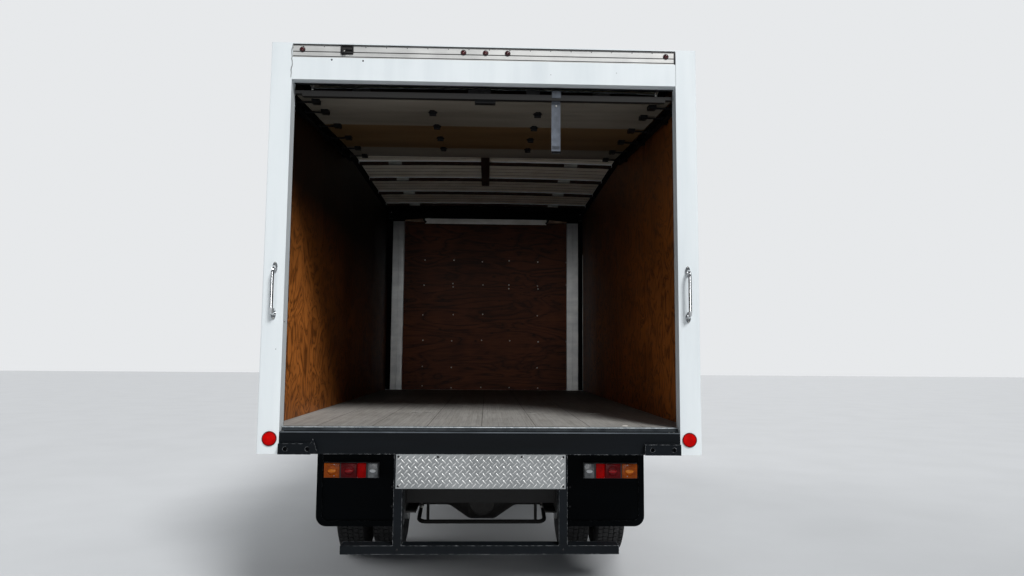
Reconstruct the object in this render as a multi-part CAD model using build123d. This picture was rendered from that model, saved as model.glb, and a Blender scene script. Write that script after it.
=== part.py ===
from build123d import *
import math
import os

# Box truck: low-cab-forward chassis with a dry-freight box and a roll-up rear door.
# Millimetres. +Y is forward, +X is the truck's right, +Z is up.
# The origin is on the ground, under the middle of the overall length and width.

# Overall places along the truck
HANDLE_BOW = 57.0
BOX_LENGTH = 4877.0
CAB_REACH = 1806.0
REAR_OVERHANG = 1740.0
FRONT_OVERHANG = 1133.0
OVERALL_LENGTH = HANDLE_BOW + BOX_LENGTH + CAB_REACH
FRONT_Y = OVERALL_LENGTH / 2
REAR_FACE_Y = -OVERALL_LENGTH / 2 + HANDLE_BOW
REAR_AXLE_Y = REAR_FACE_Y + REAR_OVERHANG
FRONT_AXLE_Y = FRONT_Y - FRONT_OVERHANG
WHEELBASE = FRONT_AXLE_Y - REAR_AXLE_Y

# Running clearances
PIN_GAP = 0.3
SEAT_GAP = 0.3
PANEL_GAP = 6.0

# Cargo box
BOX_WIDTH = 2438.0
BOX_HEIGHT = 2167.0
WALL = 38.0
FRONT_WALL = 50.0
BOX_FRONT_Y = REAR_FACE_Y + BOX_LENGTH
HALF_BOX = BOX_WIDTH / 2
HALF_INSIDE = HALF_BOX - WALL
FLOOR_Z = 1068.0
BOX_TOP_Z = FLOOR_Z + BOX_HEIGHT
DECK = 30.0
CROSS_SILL = 100.0
LONG_SILL = 130.0
RAIL_TOP_Z = FLOOR_Z - DECK - CROSS_SILL - LONG_SILL
SIDE_SKIRT_Z = FLOOR_Z - 140.0

# Rear frame of the box
POST_WIDTH = 120.0
FRAME_DEPTH = 85.0
OPENING_HALF = HALF_BOX - POST_WIDTH
FRAME_BOTTOM_Z = FLOOR_Z - 144.0
SILL_TOP_Z = FLOOR_Z - 24.0
HEADER_DEPTH = 215.0
HEADER_BOTTOM_Z = BOX_TOP_Z - HEADER_DEPTH
FRAME_FRONT_Y = REAR_FACE_Y + FRAME_DEPTH

# Roof
ROOF_SKIN = 5.0
ROOF_CROWN = 16.0
BOW_PITCH = 610.0
BOW_WIDTH = 45.0
BOW_DEPTH = 28.0

# Roll-up door, stored open under the roof
DOOR_PANELS = 5
DOOR_PANEL_HEIGHT = 388.0
DOOR_PANEL_THICKNESS = 18.0
DOOR_PANEL_GAP = 2.0
DOOR_HALF = OPENING_HALF - 10.0
DOOR_EDGE_Y = REAR_FACE_Y + 45.0
DOOR_EDGE_Z = HEADER_BOTTOM_Z - 68.0
DOOR_SLOPE = 5.0
ROLLER_R = 23.0
TRACK_LIP = 3.0

# Ladder frame, as wide as the twin wheels leave room for
REAR_TRACK = 1620.0
TWIN_WHEEL_ROOM = 770.0
FRAME_WIDTH = REAR_TRACK - TWIN_WHEEL_ROOM
RAIL_DEPTH = 216.0
RAIL_FLANGE = 65.0
RAIL_WEB = 7.0
HALF_FRAME = FRAME_WIDTH / 2
RAIL_BOTTOM_Z = RAIL_TOP_Z - RAIL_DEPTH
RAIL_REAR_Y = REAR_FACE_Y + 105.0
RAIL_FRONT_Y = FRONT_Y - 173.0

# Wheels and axles
TYRE_R = 385.0
TYRE_WIDTH = 218.0
BEAD_R = 206.0
BEAD_HALF = 77.0
TYRE_BEAD_HALF = 69.0
RIM_OFFSET = 125.0
RIM_METAL = 6.0
FRONT_TRACK = 1665.0
KINGPIN_OFFSET = 142.5
KINGPIN_X = FRONT_TRACK / 2 - KINGPIN_OFFSET
SPINDLE_R = 34.0
AXLE_Z = TYRE_R

# Cab
CAB_WIDTH = 2000.0
CAB_BACK_Y = BOX_FRONT_Y + 70.0
CAB_FRONT_Y = FRONT_Y - 43.0
CAB_WALL = 45.0
CAB_HEIGHT = 1410.0
CAB_UNDER_Z = RAIL_TOP_Z + 52.0
CAB_TOP_Z = CAB_UNDER_Z + CAB_HEIGHT
CAB_FLOOR_Z = CAB_UNDER_Z + CAB_WALL
APRON_Z = CAB_UNDER_Z - 110.0
ROOF_SPLIT_Z = CAB_TOP_Z - 120.0
BELT_Z = CAB_UNDER_Z + 610.0
HALF_CAB = CAB_WIDTH / 2
DRIVER_X = -(HALF_CAB - 520.0)
TILT_Y = CAB_FRONT_Y - 70.0
TILT_Z = RAIL_TOP_Z - RAIL_DEPTH / 2
TILT_PIN_R = 15.0
ARCH_FRONT_Y = FRONT_AXLE_Y + 510.0
DOOR_REAR_Y = FRONT_AXLE_Y - 125.0
DOOR_FRONT_Y = CAB_FRONT_Y - 240.0
SIDE_SEAM_Y = DOOR_REAR_Y + 60.0
DOOR_PIVOT_X = HALF_CAB + 12.0
DOOR_REBATE = 70.0
DOOR_PIVOT_Y = DOOR_FRONT_Y + 20.0


def block(x0, x1, y0, y1, z0, z1):
    """Box between two corners."""
    centre = ((x0 + x1) / 2, (y0 + y1) / 2, (z0 + z1) / 2)
    return Pos(*centre) * Box(abs(x1 - x0), abs(y1 - y0), abs(z1 - z0))


def rod(start, end, radius):
    """Round bar between two points."""
    a = Vector(*start)
    b = Vector(*end)
    plane = Plane(origin=a, z_dir=(b - a).normalized())
    return extrude(plane * Circle(radius), amount=(b - a).length)


def tube(start, end, outer, inner):
    """Round tube between two points."""
    return rod(start, end, outer) - rod(start, end, inner)


def drawn_in(points, inset):
    """Corners of a polygon whose sides are moved inwards, with the sense of each corner."""
    count = len(points)
    area = sum(
        points[i][0] * points[(i + 1) % count][1] - points[(i + 1) % count][0] * points[i][1]
        for i in range(count)
    )
    sense = 1 if area > 0 else -1
    moved = []
    for i in range(count):
        here = Vector(*points[i])
        before = (here - Vector(*points[i - 1])).normalized()
        after = (Vector(*points[(i + 1) % count]) - here).normalized()
        turn = before.X * after.Y - before.Y * after.X
        normal_before = Vector(-before.Y, before.X) * sense
        normal_after = Vector(-after.Y, after.X) * sense
        bisector = (normal_before + normal_after) / (1 + normal_before.dot(normal_after))
        corner = here + bisector * inset
        moved.append(((corner.X, corner.Y), turn * sense > 0))
    return moved


def outline(points, radii=0.0, inset=0.0):
    """Closed face with straight sides and rounded corners, drawn in by an even inset."""
    if isinstance(radii, (int, float)):
        radii = [radii] * len(points)
    corners = []
    rounds = []
    for (corner, outward), radius in zip(drawn_in(points, inset), radii):
        corners.append(corner)
        change = -inset if outward else inset
        rounds.append(max(radius + change, 0) if radius else 0)
    if max(rounds) == 0:
        return make_face(Polyline(*corners, close=True))
    return make_face(FilletPolyline(*corners, radius=rounds, close=True))


def along_x(face, x0, x1):
    """Side profile (y, z) extruded across the truck."""
    return extrude(Plane.YZ.offset(x0) * face, amount=x1 - x0)


def along_y(face, y0, y1):
    """Cross profile (x, z) extruded along the truck."""
    return extrude(Plane.XZ.offset(-y1) * face, amount=y1 - y0)


def along_z(face, z0, z1):
    """Plan profile (x, y) extruded upwards."""
    return extrude(Plane.XY.offset(z0) * face, amount=z1 - z0)


def other_side(shape):
    """Mirror image on the other side of the truck's centre plane."""
    return mirror(shape, about=Plane.YZ)


def both(shape):
    """A piece with its mirror image."""
    return [shape, other_side(shape)]


def group(*pieces):
    """Separate solids that share one node."""
    solids = []
    for piece in pieces:
        for item in piece if isinstance(piece, list) else [piece]:
            solids.extend(item.solids())
    return Compound(solids)


def fused(*pieces):
    """One solid from pieces that are welded together."""
    result = pieces[0]
    for piece in pieces[1:]:
        result = result + piece
    return result


# Ladder frame


def frame_rail():
    """Right-hand channel rail, open towards the middle."""
    inner = HALF_FRAME - RAIL_FLANGE
    channel = outline(
        [
            (inner, RAIL_BOTTOM_Z),
            (HALF_FRAME, RAIL_BOTTOM_Z),
            (HALF_FRAME, RAIL_TOP_Z),
            (inner, RAIL_TOP_Z),
            (inner, RAIL_TOP_Z - RAIL_WEB),
            (HALF_FRAME - RAIL_WEB, RAIL_TOP_Z - RAIL_WEB),
            (HALF_FRAME - RAIL_WEB, RAIL_BOTTOM_Z + RAIL_WEB),
            (inner, RAIL_BOTTOM_Z + RAIL_WEB),
        ]
    )
    return along_y(channel, RAIL_REAR_Y, RAIL_FRONT_Y)


CROSSMEMBER_DEPTH = 150.0
CROSSMEMBER_FLANGE = 60.0
CROSSMEMBER_PLACES = [
    ("rear", RAIL_REAR_Y + 40),
    ("behind axle", REAR_AXLE_Y - 620),
    ("ahead of axle", REAR_AXLE_Y + 640),
    ("centre bearing", REAR_AXLE_Y + 1500),
    ("gearbox", FRONT_AXLE_Y - 1460),
]
TILT_LUG_X = HALF_FRAME - 45.0
TILT_LUG = 34.0
CAB_MOUNT_Y = CAB_BACK_Y + 60.0


def crossmembers():
    """Channel members between the rails, the cab's tilt lugs and its rear mounts."""
    reach = HALF_FRAME - RAIL_WEB
    top = RAIL_TOP_Z - RAIL_WEB - 12
    members = []
    for _, y in CROSSMEMBER_PLACES:
        web = block(-reach, reach, y, y + RAIL_WEB, top - CROSSMEMBER_DEPTH, top)
        upper = block(-reach, reach, y, y + CROSSMEMBER_FLANGE, top - RAIL_WEB, top)
        lower_z = top - CROSSMEMBER_DEPTH
        lower = block(-reach, reach, y, y + CROSSMEMBER_FLANGE, lower_z, lower_z + RAIL_WEB)
        members.append(fused(web, upper, lower))
    front = rod((-reach, RAIL_FRONT_Y - 60, TILT_Z), (reach, RAIL_FRONT_Y - 60, TILT_Z), 38)
    for side in (-1, 1):
        x0 = side * (TILT_LUG_X - TILT_LUG)
        x1 = side * TILT_LUG_X
        lug = block(x0, x1, RAIL_FRONT_Y - 60, TILT_Y, TILT_Z - 26, TILT_Z + 26)
        nose = rod((x0, TILT_Y, TILT_Z), (x1, TILT_Y, TILT_Z), 26)
        pin = rod((x0, TILT_Y, TILT_Z), (side * (TILT_LUG_X + 48), TILT_Y, TILT_Z), TILT_PIN_R)
        front = fused(front, lug, nose, pin)
    members.append(front)
    for side in (-1, 1):
        x0 = side * (HALF_FRAME - RAIL_FLANGE + 4)
        x1 = side * (HALF_FRAME - 4)
        y0 = CAB_MOUNT_Y
        members.append(block(x0, x1, y0, y0 + 90, RAIL_TOP_Z, CAB_UNDER_Z - SEAT_GAP))
    return group(members)


# Axles, springs and drive line

FRONT_SPRING_X = HALF_FRAME - 33.0
REAR_SPRING_X = HALF_FRAME + 75.0
SPRING_WIDTH = 70.0
SPRING_LEAF = 12.0
BEAM_Z = AXLE_Z - 85.0
BEAM_DEPTH = 80.0
EYE_HALF = 42.0
AXLE_TUBE_R = 60.0
DIFF_R = 162.0
DIFF_WIDTH = 250.0
HUB_INNER_X = REAR_TRACK / 2 - 250.0
STUB_R = 38.0


def front_axle():
    """Drop beam with an eye for each kingpin."""
    top = BEAM_Z + BEAM_DEPTH / 2
    bottom = BEAM_Z - BEAM_DEPTH / 2
    eye_top = AXLE_Z + EYE_HALF
    eye_bottom = AXLE_Z - EYE_HALF
    half = outline(
        [
            (0, bottom),
            (KINGPIN_X - 150, bottom),
            (KINGPIN_X - 30, eye_bottom + 16),
            (KINGPIN_X - 30, eye_top - 8),
            (KINGPIN_X - 90, eye_top - 8),
            (KINGPIN_X - 210, top),
            (0, top),
        ]
    )
    web = along_y(half, FRONT_AXLE_Y - 12, FRONT_AXLE_Y + 12)
    flange_low = block(0, KINGPIN_X - 150, FRONT_AXLE_Y - 38, FRONT_AXLE_Y + 38, bottom, bottom + 16)
    flange_top = block(0, KINGPIN_X - 210, FRONT_AXLE_Y - 38, FRONT_AXLE_Y + 38, top - 16, top)
    pad = block(
        FRONT_SPRING_X - 55, FRONT_SPRING_X + 55, FRONT_AXLE_Y - 75, FRONT_AXLE_Y + 75, top - 16, top
    )
    eye = rod((KINGPIN_X, FRONT_AXLE_Y, eye_bottom), (KINGPIN_X, FRONT_AXLE_Y, eye_top), 44)
    bore = rod(
        (KINGPIN_X, FRONT_AXLE_Y, eye_bottom - 1),
        (KINGPIN_X, FRONT_AXLE_Y, eye_top + 1),
        KINGPIN_R + PIN_GAP,
    )
    side = fused(web, flange_low, flange_top, pad, eye) - bore
    return fused(side, other_side(side))


KINGPIN_R = 20.0


def rear_axle():
    """Banjo axle: tubes that swell into the round differential housing."""
    profile = outline(
        [
            (-HUB_INNER_X + 4, 0),
            (-HUB_INNER_X + 4, AXLE_TUBE_R),
            (-DIFF_WIDTH, AXLE_TUBE_R),
            (-DIFF_WIDTH / 2.6, DIFF_R),
            (DIFF_WIDTH / 2.6, DIFF_R),
            (DIFF_WIDTH, AXLE_TUBE_R),
            (HUB_INNER_X - 4, AXLE_TUBE_R),
            (HUB_INNER_X - 4, 0),
        ],
        [0, 0, 90, 60, 60, 90, 0, 0],
    )
    plane = Plane(origin=(0, REAR_AXLE_Y, AXLE_Z), x_dir=(1, 0, 0), z_dir=(0, -1, 0))
    housing = revolve(plane * profile, Axis((0, REAR_AXLE_Y, AXLE_Z), (1, 0, 0)))
    nose = Plane(origin=(0, REAR_AXLE_Y + 90, AXLE_Z), z_dir=(0, 1, 0))
    pinion = extrude(nose * Circle(105), amount=150, taper=12)
    cover = extrude(
        Plane(origin=(0, REAR_AXLE_Y - 118, AXLE_Z), z_dir=(0, -1, 0)) * Circle(118), amount=58, taper=20
    )
    seats = []
    for side in (-1, 1):
        x = side * REAR_SPRING_X
        seats.append(
            block(x - 45, x + 45, REAR_AXLE_Y - 70, REAR_AXLE_Y + 70, AXLE_Z, AXLE_Z + AXLE_TUBE_R + 15)
        )
    for side in (-1, 1):
        end_x = side * (REAR_TRACK / 2 + 60)
        start_x = side * (HUB_INNER_X - 10)
        seats.append(rod((start_x, REAR_AXLE_Y, AXLE_Z), (end_x, REAR_AXLE_Y, AXLE_Z), STUB_R))
    return fused(housing, pinion, cover, *seats)


REAR_SPRING_Z = AXLE_Z + AXLE_TUBE_R + 15
FRONT_SPRING_Z = BEAM_Z + BEAM_DEPTH / 2
FRONT_LEAF_COUNT = 4
REAR_LEAF_COUNT = 6
SPRING_TABLE = [
    # name, x, axle y, seat z, half length, eye z, leaves
    ("front", FRONT_SPRING_X, FRONT_AXLE_Y, FRONT_SPRING_Z, 640.0, RAIL_BOTTOM_Z - 62, FRONT_LEAF_COUNT),
    ("rear", REAR_SPRING_X, REAR_AXLE_Y, REAR_SPRING_Z, 620.0, RAIL_BOTTOM_Z - 24, REAR_LEAF_COUNT),
]


def leaf_spring(x, axle_y, seat_z, half_length, eye_z, leaves):
    """Stack of bowed leaves with rolled eyes, hanger and shackle plates."""
    rise = eye_z - seat_z
    radius = (half_length ** 2 + rise ** 2) / (2 * rise)
    stack = None
    for index in range(leaves):
        reach = half_length * (1 - 0.13 * index)
        low = seat_z + SPRING_LEAF * (leaves - 1 - index)
        centre_z = low + radius
        outer = radius
        inner = radius - SPRING_LEAF
        angle = math.asin(reach / outer)
        start = (-outer * math.sin(angle), -outer * math.cos(angle))
        end = (outer * math.sin(angle), -outer * math.cos(angle))
        top_end = (inner * math.sin(angle), -inner * math.cos(angle))
        top_start = (-inner * math.sin(angle), -inner * math.cos(angle))
        edges = [
            ThreePointArc(start, (0, -outer), end),
            Line(end, top_end),
            ThreePointArc(top_end, (0, -inner), top_start),
            Line(top_start, start),
        ]
        face = Pos(axle_y, centre_z) * make_face(Curve() + edges)
        leaf = along_x(face, x - SPRING_WIDTH / 2, x + SPRING_WIDTH / 2)
        stack = leaf if stack is None else stack + leaf
    stack_z = seat_z + leaves * SPRING_LEAF
    clamp = block(x - 50, x + 50, axle_y - 60, axle_y + 60, stack_z - 2, stack_z + 18)
    stack = fused(stack, clamp)
    for end in (-1, 1):
        y = axle_y + end * half_length
        top = seat_z + SPRING_LEAF * (leaves - 1)
        eye_top = eye_z + (top - seat_z)
        eye = rod((x - SPRING_WIDTH / 2, y, eye_top), (x + SPRING_WIDTH / 2, y, eye_top), 22)
        stack = fused(stack, eye)
    return stack


CHEEK_METAL = 10.0
CHEEK_HALF = 34.0
CHEEK_BELOW_EYE = 28.0
CHEEK_ABOVE_EYE = 60.0
CAP_METAL = 12.0


def spring_hangers(x, axle_y, seat_z, half_length, eye_z, leaves):
    """Cheek plates that hold the spring eyes on the rail."""
    top = seat_z + SPRING_LEAF * (leaves - 1)
    eye_top = eye_z + (top - seat_z)
    hangers = []
    inner_x = x - SPRING_WIDTH / 2 - SEAT_GAP - CHEEK_METAL
    outer_x = x + SPRING_WIDTH / 2 + SEAT_GAP
    under_rail = inner_x < HALF_FRAME
    head_z = RAIL_BOTTOM_Z - CAP_METAL if under_rail else eye_top + CHEEK_ABOVE_EYE
    cap_x = inner_x if under_rail else HALF_FRAME
    for end in (-1, 1):
        y0 = axle_y + end * half_length - CHEEK_HALF
        y1 = axle_y + end * half_length + CHEEK_HALF
        cheeks = []
        for x0 in (inner_x, outer_x):
            cheeks.append(block(x0, x0 + CHEEK_METAL, y0, y1, eye_top - CHEEK_BELOW_EYE, head_z))
        cap = block(cap_x, outer_x + CHEEK_METAL, y0, y1, head_z, head_z + CAP_METAL)
        hangers.append(fused(cap, *cheeks))
    return hangers


def leaf_springs():
    """All four springs with their hangers."""
    pieces = []
    for _, *place in SPRING_TABLE:
        pieces += both(leaf_spring(*place))
        for hanger in spring_hangers(*place):
            pieces += both(hanger)
    return group(pieces)


STABILISER_Z = AXLE_Z - 149.0
STABILISER_R = 15.0
STABILISER_Y = REAR_AXLE_Y - 190.0
STABILISER_X = HALF_FRAME + 45.0
DAMPER_R = 30.0
DAMPER_LUG_HALF = 15.0
DAMPER_HEAD_Z = RAIL_TOP_Z - 60.0
DAMPER_TABLE = [
    # x of the damper, x of the rail's face, foot y, foot z, head y
    (
        HALF_FRAME + DAMPER_R + 8,
        HALF_FRAME,
        FRONT_AXLE_Y - 100.0,
        AXLE_Z - 33.0,
        FRONT_AXLE_Y - 190.0,
    ),
    (
        HALF_FRAME - 95.0,
        HALF_FRAME - RAIL_WEB,
        REAR_AXLE_Y + 70.0,
        AXLE_Z + AXLE_TUBE_R - 6.0,
        REAR_AXLE_Y + 330.0,
    ),
]


def stabiliser_and_dampers():
    """Rear anti-roll bar with its drop links, and the four dampers."""
    path = FilletPolyline(
        (-STABILISER_X, REAR_AXLE_Y + 210, AXLE_Z - 40),
        (-STABILISER_X, STABILISER_Y, STABILISER_Z),
        (STABILISER_X, STABILISER_Y, STABILISER_Z),
        (STABILISER_X, REAR_AXLE_Y + 210, AXLE_Z - 40),
        radius=55,
    )
    start = Plane(origin=path @ 0, z_dir=path % 0)
    bar = sweep(start * Circle(STABILISER_R), path=path)
    pieces = [bar]
    for side in (-1, 1):
        link_x = side * (HALF_FRAME - 25)
        foot = (link_x, STABILISER_Y, STABILISER_Z + STABILISER_R + SEAT_GAP)
        head = (link_x, STABILISER_Y, RAIL_BOTTOM_Z)
        pieces.append(rod(foot, head, 11))
    for x, rail_x, foot_y, foot_z, head_y in DAMPER_TABLE:
        low_y = head_y - DAMPER_LUG_HALF
        high_y = head_y + DAMPER_LUG_HALF
        lug = block(rail_x, x, low_y, high_y, DAMPER_HEAD_Z - 20, DAMPER_HEAD_Z + 10)
        barrel = rod((x, foot_y, foot_z), (x, head_y, DAMPER_HEAD_Z), DAMPER_R)
        pieces += both(fused(barrel, lug))
    return group(pieces)


SHAFT_R = 45.0
GEARBOX_REAR_Y = FRONT_AXLE_Y - 900.0
ENGINE_Z = RAIL_TOP_Z - 168.0


def propeller_shaft():
    """Tube from the gearbox to the axle pinion, with its yokes."""
    front = (0, GEARBOX_REAR_Y - 40, ENGINE_Z - 60)
    rear = (0, REAR_AXLE_Y + 245, AXLE_Z)
    tube_part = rod(front, rear, SHAFT_R)
    front_yoke = block(-52, 52, GEARBOX_REAR_Y - 90, GEARBOX_REAR_Y, ENGINE_Z - 112, ENGINE_Z - 12)
    rear_yoke = block(-52, 52, REAR_AXLE_Y + 240, REAR_AXLE_Y + 320, AXLE_Z - 50, AXLE_Z + 52)
    return fused(tube_part, front_yoke, rear_yoke)


ENGINE_HALF = 250.0
ENGINE_REAR_Y = FRONT_AXLE_Y - 330.0
ENGINE_FRONT_Y = FRONT_AXLE_Y + 420.0
SUMP_HALF = 150.0
BELL_LENGTH = 190.0
GEARBOX_R = 130.0
RADIATOR_Y = FRONT_AXLE_Y + 600.0
RADIATOR_DEPTH = 80.0
FAN_R = 125.0
BEARER_Y = FRONT_AXLE_Y + 120.0


def engine_block():
    """Engine with its sump, bell housing, gearbox, fan and radiator, on a bearer between the rails."""
    low_z = ENGINE_Z - 130
    core = block(-ENGINE_HALF, ENGINE_HALF, ENGINE_REAR_Y, ENGINE_FRONT_Y, low_z, CAB_UNDER_Z - 24)
    core = chamfer(core.edges().filter_by(Axis.Y).sort_by(Axis.Z)[-2:], 60)
    sump = block(-SUMP_HALF, SUMP_HALF, ENGINE_FRONT_Y - 360, ENGINE_FRONT_Y - 20, low_z - 70, low_z)
    sump = chamfer(sump.edges().filter_by(Axis.X).sort_by(Axis.Z)[0:2], 30)
    bell_face = Plane(origin=(0, ENGINE_REAR_Y + 1, ENGINE_Z - 45), z_dir=(0, -1, 0))
    bell = extrude(bell_face * Circle(GEARBOX_R + 40), amount=BELL_LENGTH, taper=12)
    gearbox = rod((0, GEARBOX_REAR_Y, ENGINE_Z - 45), (0, ENGINE_REAR_Y, ENGINE_Z - 45), GEARBOX_R - 25)
    ring_y = GEARBOX_REAR_Y + 120
    ring = rod((0, ring_y, ENGINE_Z - 45), (0, ring_y + 30, ENGINE_Z - 45), GEARBOX_R)
    web_x = HALF_FRAME - RAIL_WEB
    bearer_z = RAIL_BOTTOM_Z + 30
    bearer = block(-web_x, web_x, BEARER_Y, BEARER_Y + 70, bearer_z, bearer_z + 30)
    snout = rod((0, ENGINE_FRONT_Y - 5, ENGINE_Z), (0, RADIATOR_Y + 1, ENGINE_Z), 45)
    fan = rod((0, RADIATOR_Y - 90, ENGINE_Z), (0, RADIATOR_Y - 60, ENGINE_Z), FAN_R)
    half = HALF_FRAME - 95
    radiator = block(-half, half, RADIATOR_Y, RADIATOR_Y + RADIATOR_DEPTH, ENGINE_Z - 90, RAIL_TOP_Z - 4)
    return fused(core, sump, bell, gearbox, ring, bearer, snout, fan, radiator)


TANK_LOW_Z = 430.0
TANK_HIGH_Z = 760.0
TANK_ROUND = 60.0
STRAP_METAL = 4.0
FILLER_R = 30.0


def fuel_tank():
    """Rounded tank on the left rail, with two straps and a filler cap."""
    x1 = -HALF_FRAME - 25
    x0 = x1 - 380
    y0 = FRONT_AXLE_Y - 1700
    y1 = FRONT_AXLE_Y - 960

    def rounded(grow):
        """Cross section of the tank, larger by an even margin."""
        low_z = TANK_LOW_Z - grow
        high_z = TANK_HIGH_Z + grow
        corners = [(x0 - grow, low_z), (x1 + grow, low_z), (x1 + grow, high_z), (x0 - grow, high_z)]
        return outline(corners, TANK_ROUND + grow)

    pieces = [along_y(rounded(0.0), y0, y1)]
    for y in (y0 + 120, y1 - 160):
        pieces.append(along_y(rounded(STRAP_METAL), y, y + 40))
        pieces.append(block(x1 - 35, -HALF_FRAME, y, y + 40, RAIL_BOTTOM_Z + 20, RAIL_TOP_Z - 20))
    filler = (x0 + 90, y1 - 60)
    pieces.append(rod((*filler, TANK_HIGH_Z - 10), (*filler, TANK_HIGH_Z + 30), FILLER_R))
    pieces.append(rod((*filler, TANK_HIGH_Z + 28), (*filler, TANK_HIGH_Z + 45), FILLER_R + 8))
    return fused(*pieces)


def battery_box():
    """Lidded battery carrier on the right rail."""
    x0 = HALF_FRAME + 25
    y0 = FRONT_AXLE_Y - 1330
    case = fillet(block(x0, x0 + 330, y0, y0 + 420, 470, 745).edges().filter_by(Axis.Z), 18)
    lid = block(x0 - 6, x0 + 338, y0 - 8, y0 + 428, 745, 765)
    arm = block(HALF_FRAME, x0 + 20, y0 + 60, y0 + 360, RAIL_BOTTOM_Z + 20, RAIL_BOTTOM_Z + 60)
    return fused(case, lid, arm)


def exhaust():
    """Silencer on the right rail with its down pipe and tail pipe."""
    x = HALF_FRAME + 135
    z = 520.0
    y0 = REAR_AXLE_Y + 900
    body = rod((x, y0, z), (x, y0 + 620, z), 105)
    inlet = rod((x, y0 + 618, z), (x, y0 + 760, z), 32)
    outlet = rod((x, y0 - 180, z), (x, y0 + 2, z), 32)
    outlet_bend = rod((x, y0 - 180, z), (x + 260, y0 - 330, z - 30), 32)
    knee = Pos(x, y0 - 180, z) * Sphere(32)
    arm = block(HALF_FRAME, x, y0 + 200, y0 + 240, RAIL_BOTTOM_Z + 10, RAIL_BOTTOM_Z + 40)
    hanger = block(x - 20, x, y0 + 200, y0 + 240, z + 60, RAIL_BOTTOM_Z + 40)
    return fused(body, inlet, outlet, outlet_bend, knee, arm, hanger)


BUMPER_LOW_Z = 430.0
BUMPER_HIGH_Z = 672.0
BUMPER_BACK_Y = FRONT_Y - 82.0
BUMPER_METAL = 8.0


def front_bumper():
    """Wrapped steel bumper on two arms from the rails."""
    plan = outline(
        [
            (-HALF_CAB, BUMPER_BACK_Y),
            (-HALF_CAB, FRONT_Y),
            (HALF_CAB, FRONT_Y),
            (HALF_CAB, BUMPER_BACK_Y),
            (HALF_CAB - BUMPER_METAL, BUMPER_BACK_Y),
            (HALF_CAB - BUMPER_METAL, FRONT_Y - BUMPER_METAL),
            (-HALF_CAB + BUMPER_METAL, FRONT_Y - BUMPER_METAL),
            (-HALF_CAB + BUMPER_METAL, BUMPER_BACK_Y),
        ],
        [0, 60, 60, 0, 0, 52, 52, 0],
    )
    shell = along_z(plan, BUMPER_LOW_Z, BUMPER_HIGH_Z)
    pieces = [shell]
    inner_y = FRONT_Y - BUMPER_METAL
    arm = block(HALF_FRAME - 80, HALF_FRAME, RAIL_FRONT_Y, inner_y, RAIL_BOTTOM_Z - 30, TILT_Z - 40)
    pieces += both(arm)
    half = HALF_CAB - 60
    for low_z in (BUMPER_LOW_Z, BUMPER_HIGH_Z - BUMPER_METAL):
        pieces.append(block(-half, half, FRONT_Y - 40, inner_y, low_z, low_z + BUMPER_METAL))
    return fused(*pieces)


# Cargo box


def long_sills():
    """Two channel sills on top of the frame rails."""
    profile = outline(
        [
            (HALF_FRAME - 65, RAIL_TOP_Z),
            (HALF_FRAME, RAIL_TOP_Z),
            (HALF_FRAME, RAIL_TOP_Z + LONG_SILL),
            (HALF_FRAME - 65, RAIL_TOP_Z + LONG_SILL),
            (HALF_FRAME - 65, RAIL_TOP_Z + LONG_SILL - 8),
            (HALF_FRAME - 8, RAIL_TOP_Z + LONG_SILL - 8),
            (HALF_FRAME - 8, RAIL_TOP_Z + 8),
            (HALF_FRAME - 65, RAIL_TOP_Z + 8),
        ]
    )
    return group(both(along_y(profile, FRAME_FRONT_Y, BOX_FRONT_Y - FRONT_WALL)))


CROSS_SILL_COUNT = 12
CROSS_SILL_WEB = 5.0
CROSS_SILL_FLANGE = 42.0


def cross_sill_places():
    """Places of the cross sills along the box."""
    first = FRAME_FRONT_Y + 60
    last = BOX_FRONT_Y - FRONT_WALL - 60
    pitch = (last - first) / (CROSS_SILL_COUNT - 1)
    return [first + pitch * index for index in range(CROSS_SILL_COUNT)]


def cross_sills():
    """I-section cross sills under the deck."""
    top = FLOOR_Z - DECK
    bottom = top - CROSS_SILL
    half = HALF_INSIDE
    sills = []
    for y in cross_sill_places():
        web = block(-half, half, y - CROSS_SILL_WEB / 2, y + CROSS_SILL_WEB / 2, bottom, top)
        upper = block(-half, half, y - CROSS_SILL_FLANGE / 2, y + CROSS_SILL_FLANGE / 2, top - 6, top)
        lower = block(-half, half, y - CROSS_SILL_FLANGE / 2, y + CROSS_SILL_FLANGE / 2, bottom, bottom + 6)
        sills.append(fused(web, upper, lower))
    return group(sills)


def cargo_deck():
    """Plank deck between the walls, notched round the door tracks and the bulkhead posts."""
    front = BOX_FRONT_Y - FRONT_WALL
    deck = block(-HALF_INSIDE, HALF_INSIDE, FRAME_FRONT_Y, front, FLOOR_Z - DECK, FLOOR_Z)
    notch_low = FLOOR_Z - DECK - 1
    notch_high = FLOOR_Z + 1
    track_x = TRACK_X - SEAT_GAP
    track_y = TRACK_UPRIGHT_Y + TRACK_CHANNEL + SEAT_GAP
    track_notch = block(track_x, HALF_INSIDE + 1, FRAME_FRONT_Y - 1, track_y, notch_low, notch_high)
    post_x = HALF_INSIDE - BULKHEAD_SET_IN - BULKHEAD_POST - SEAT_GAP
    post_y = front - BULKHEAD_METAL - SEAT_GAP
    post_notch = block(post_x, HALF_INSIDE + 1, post_y, front + 1, notch_low, notch_high)
    notches = fused(*both(track_notch), *both(post_notch))
    return deck - notches


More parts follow.
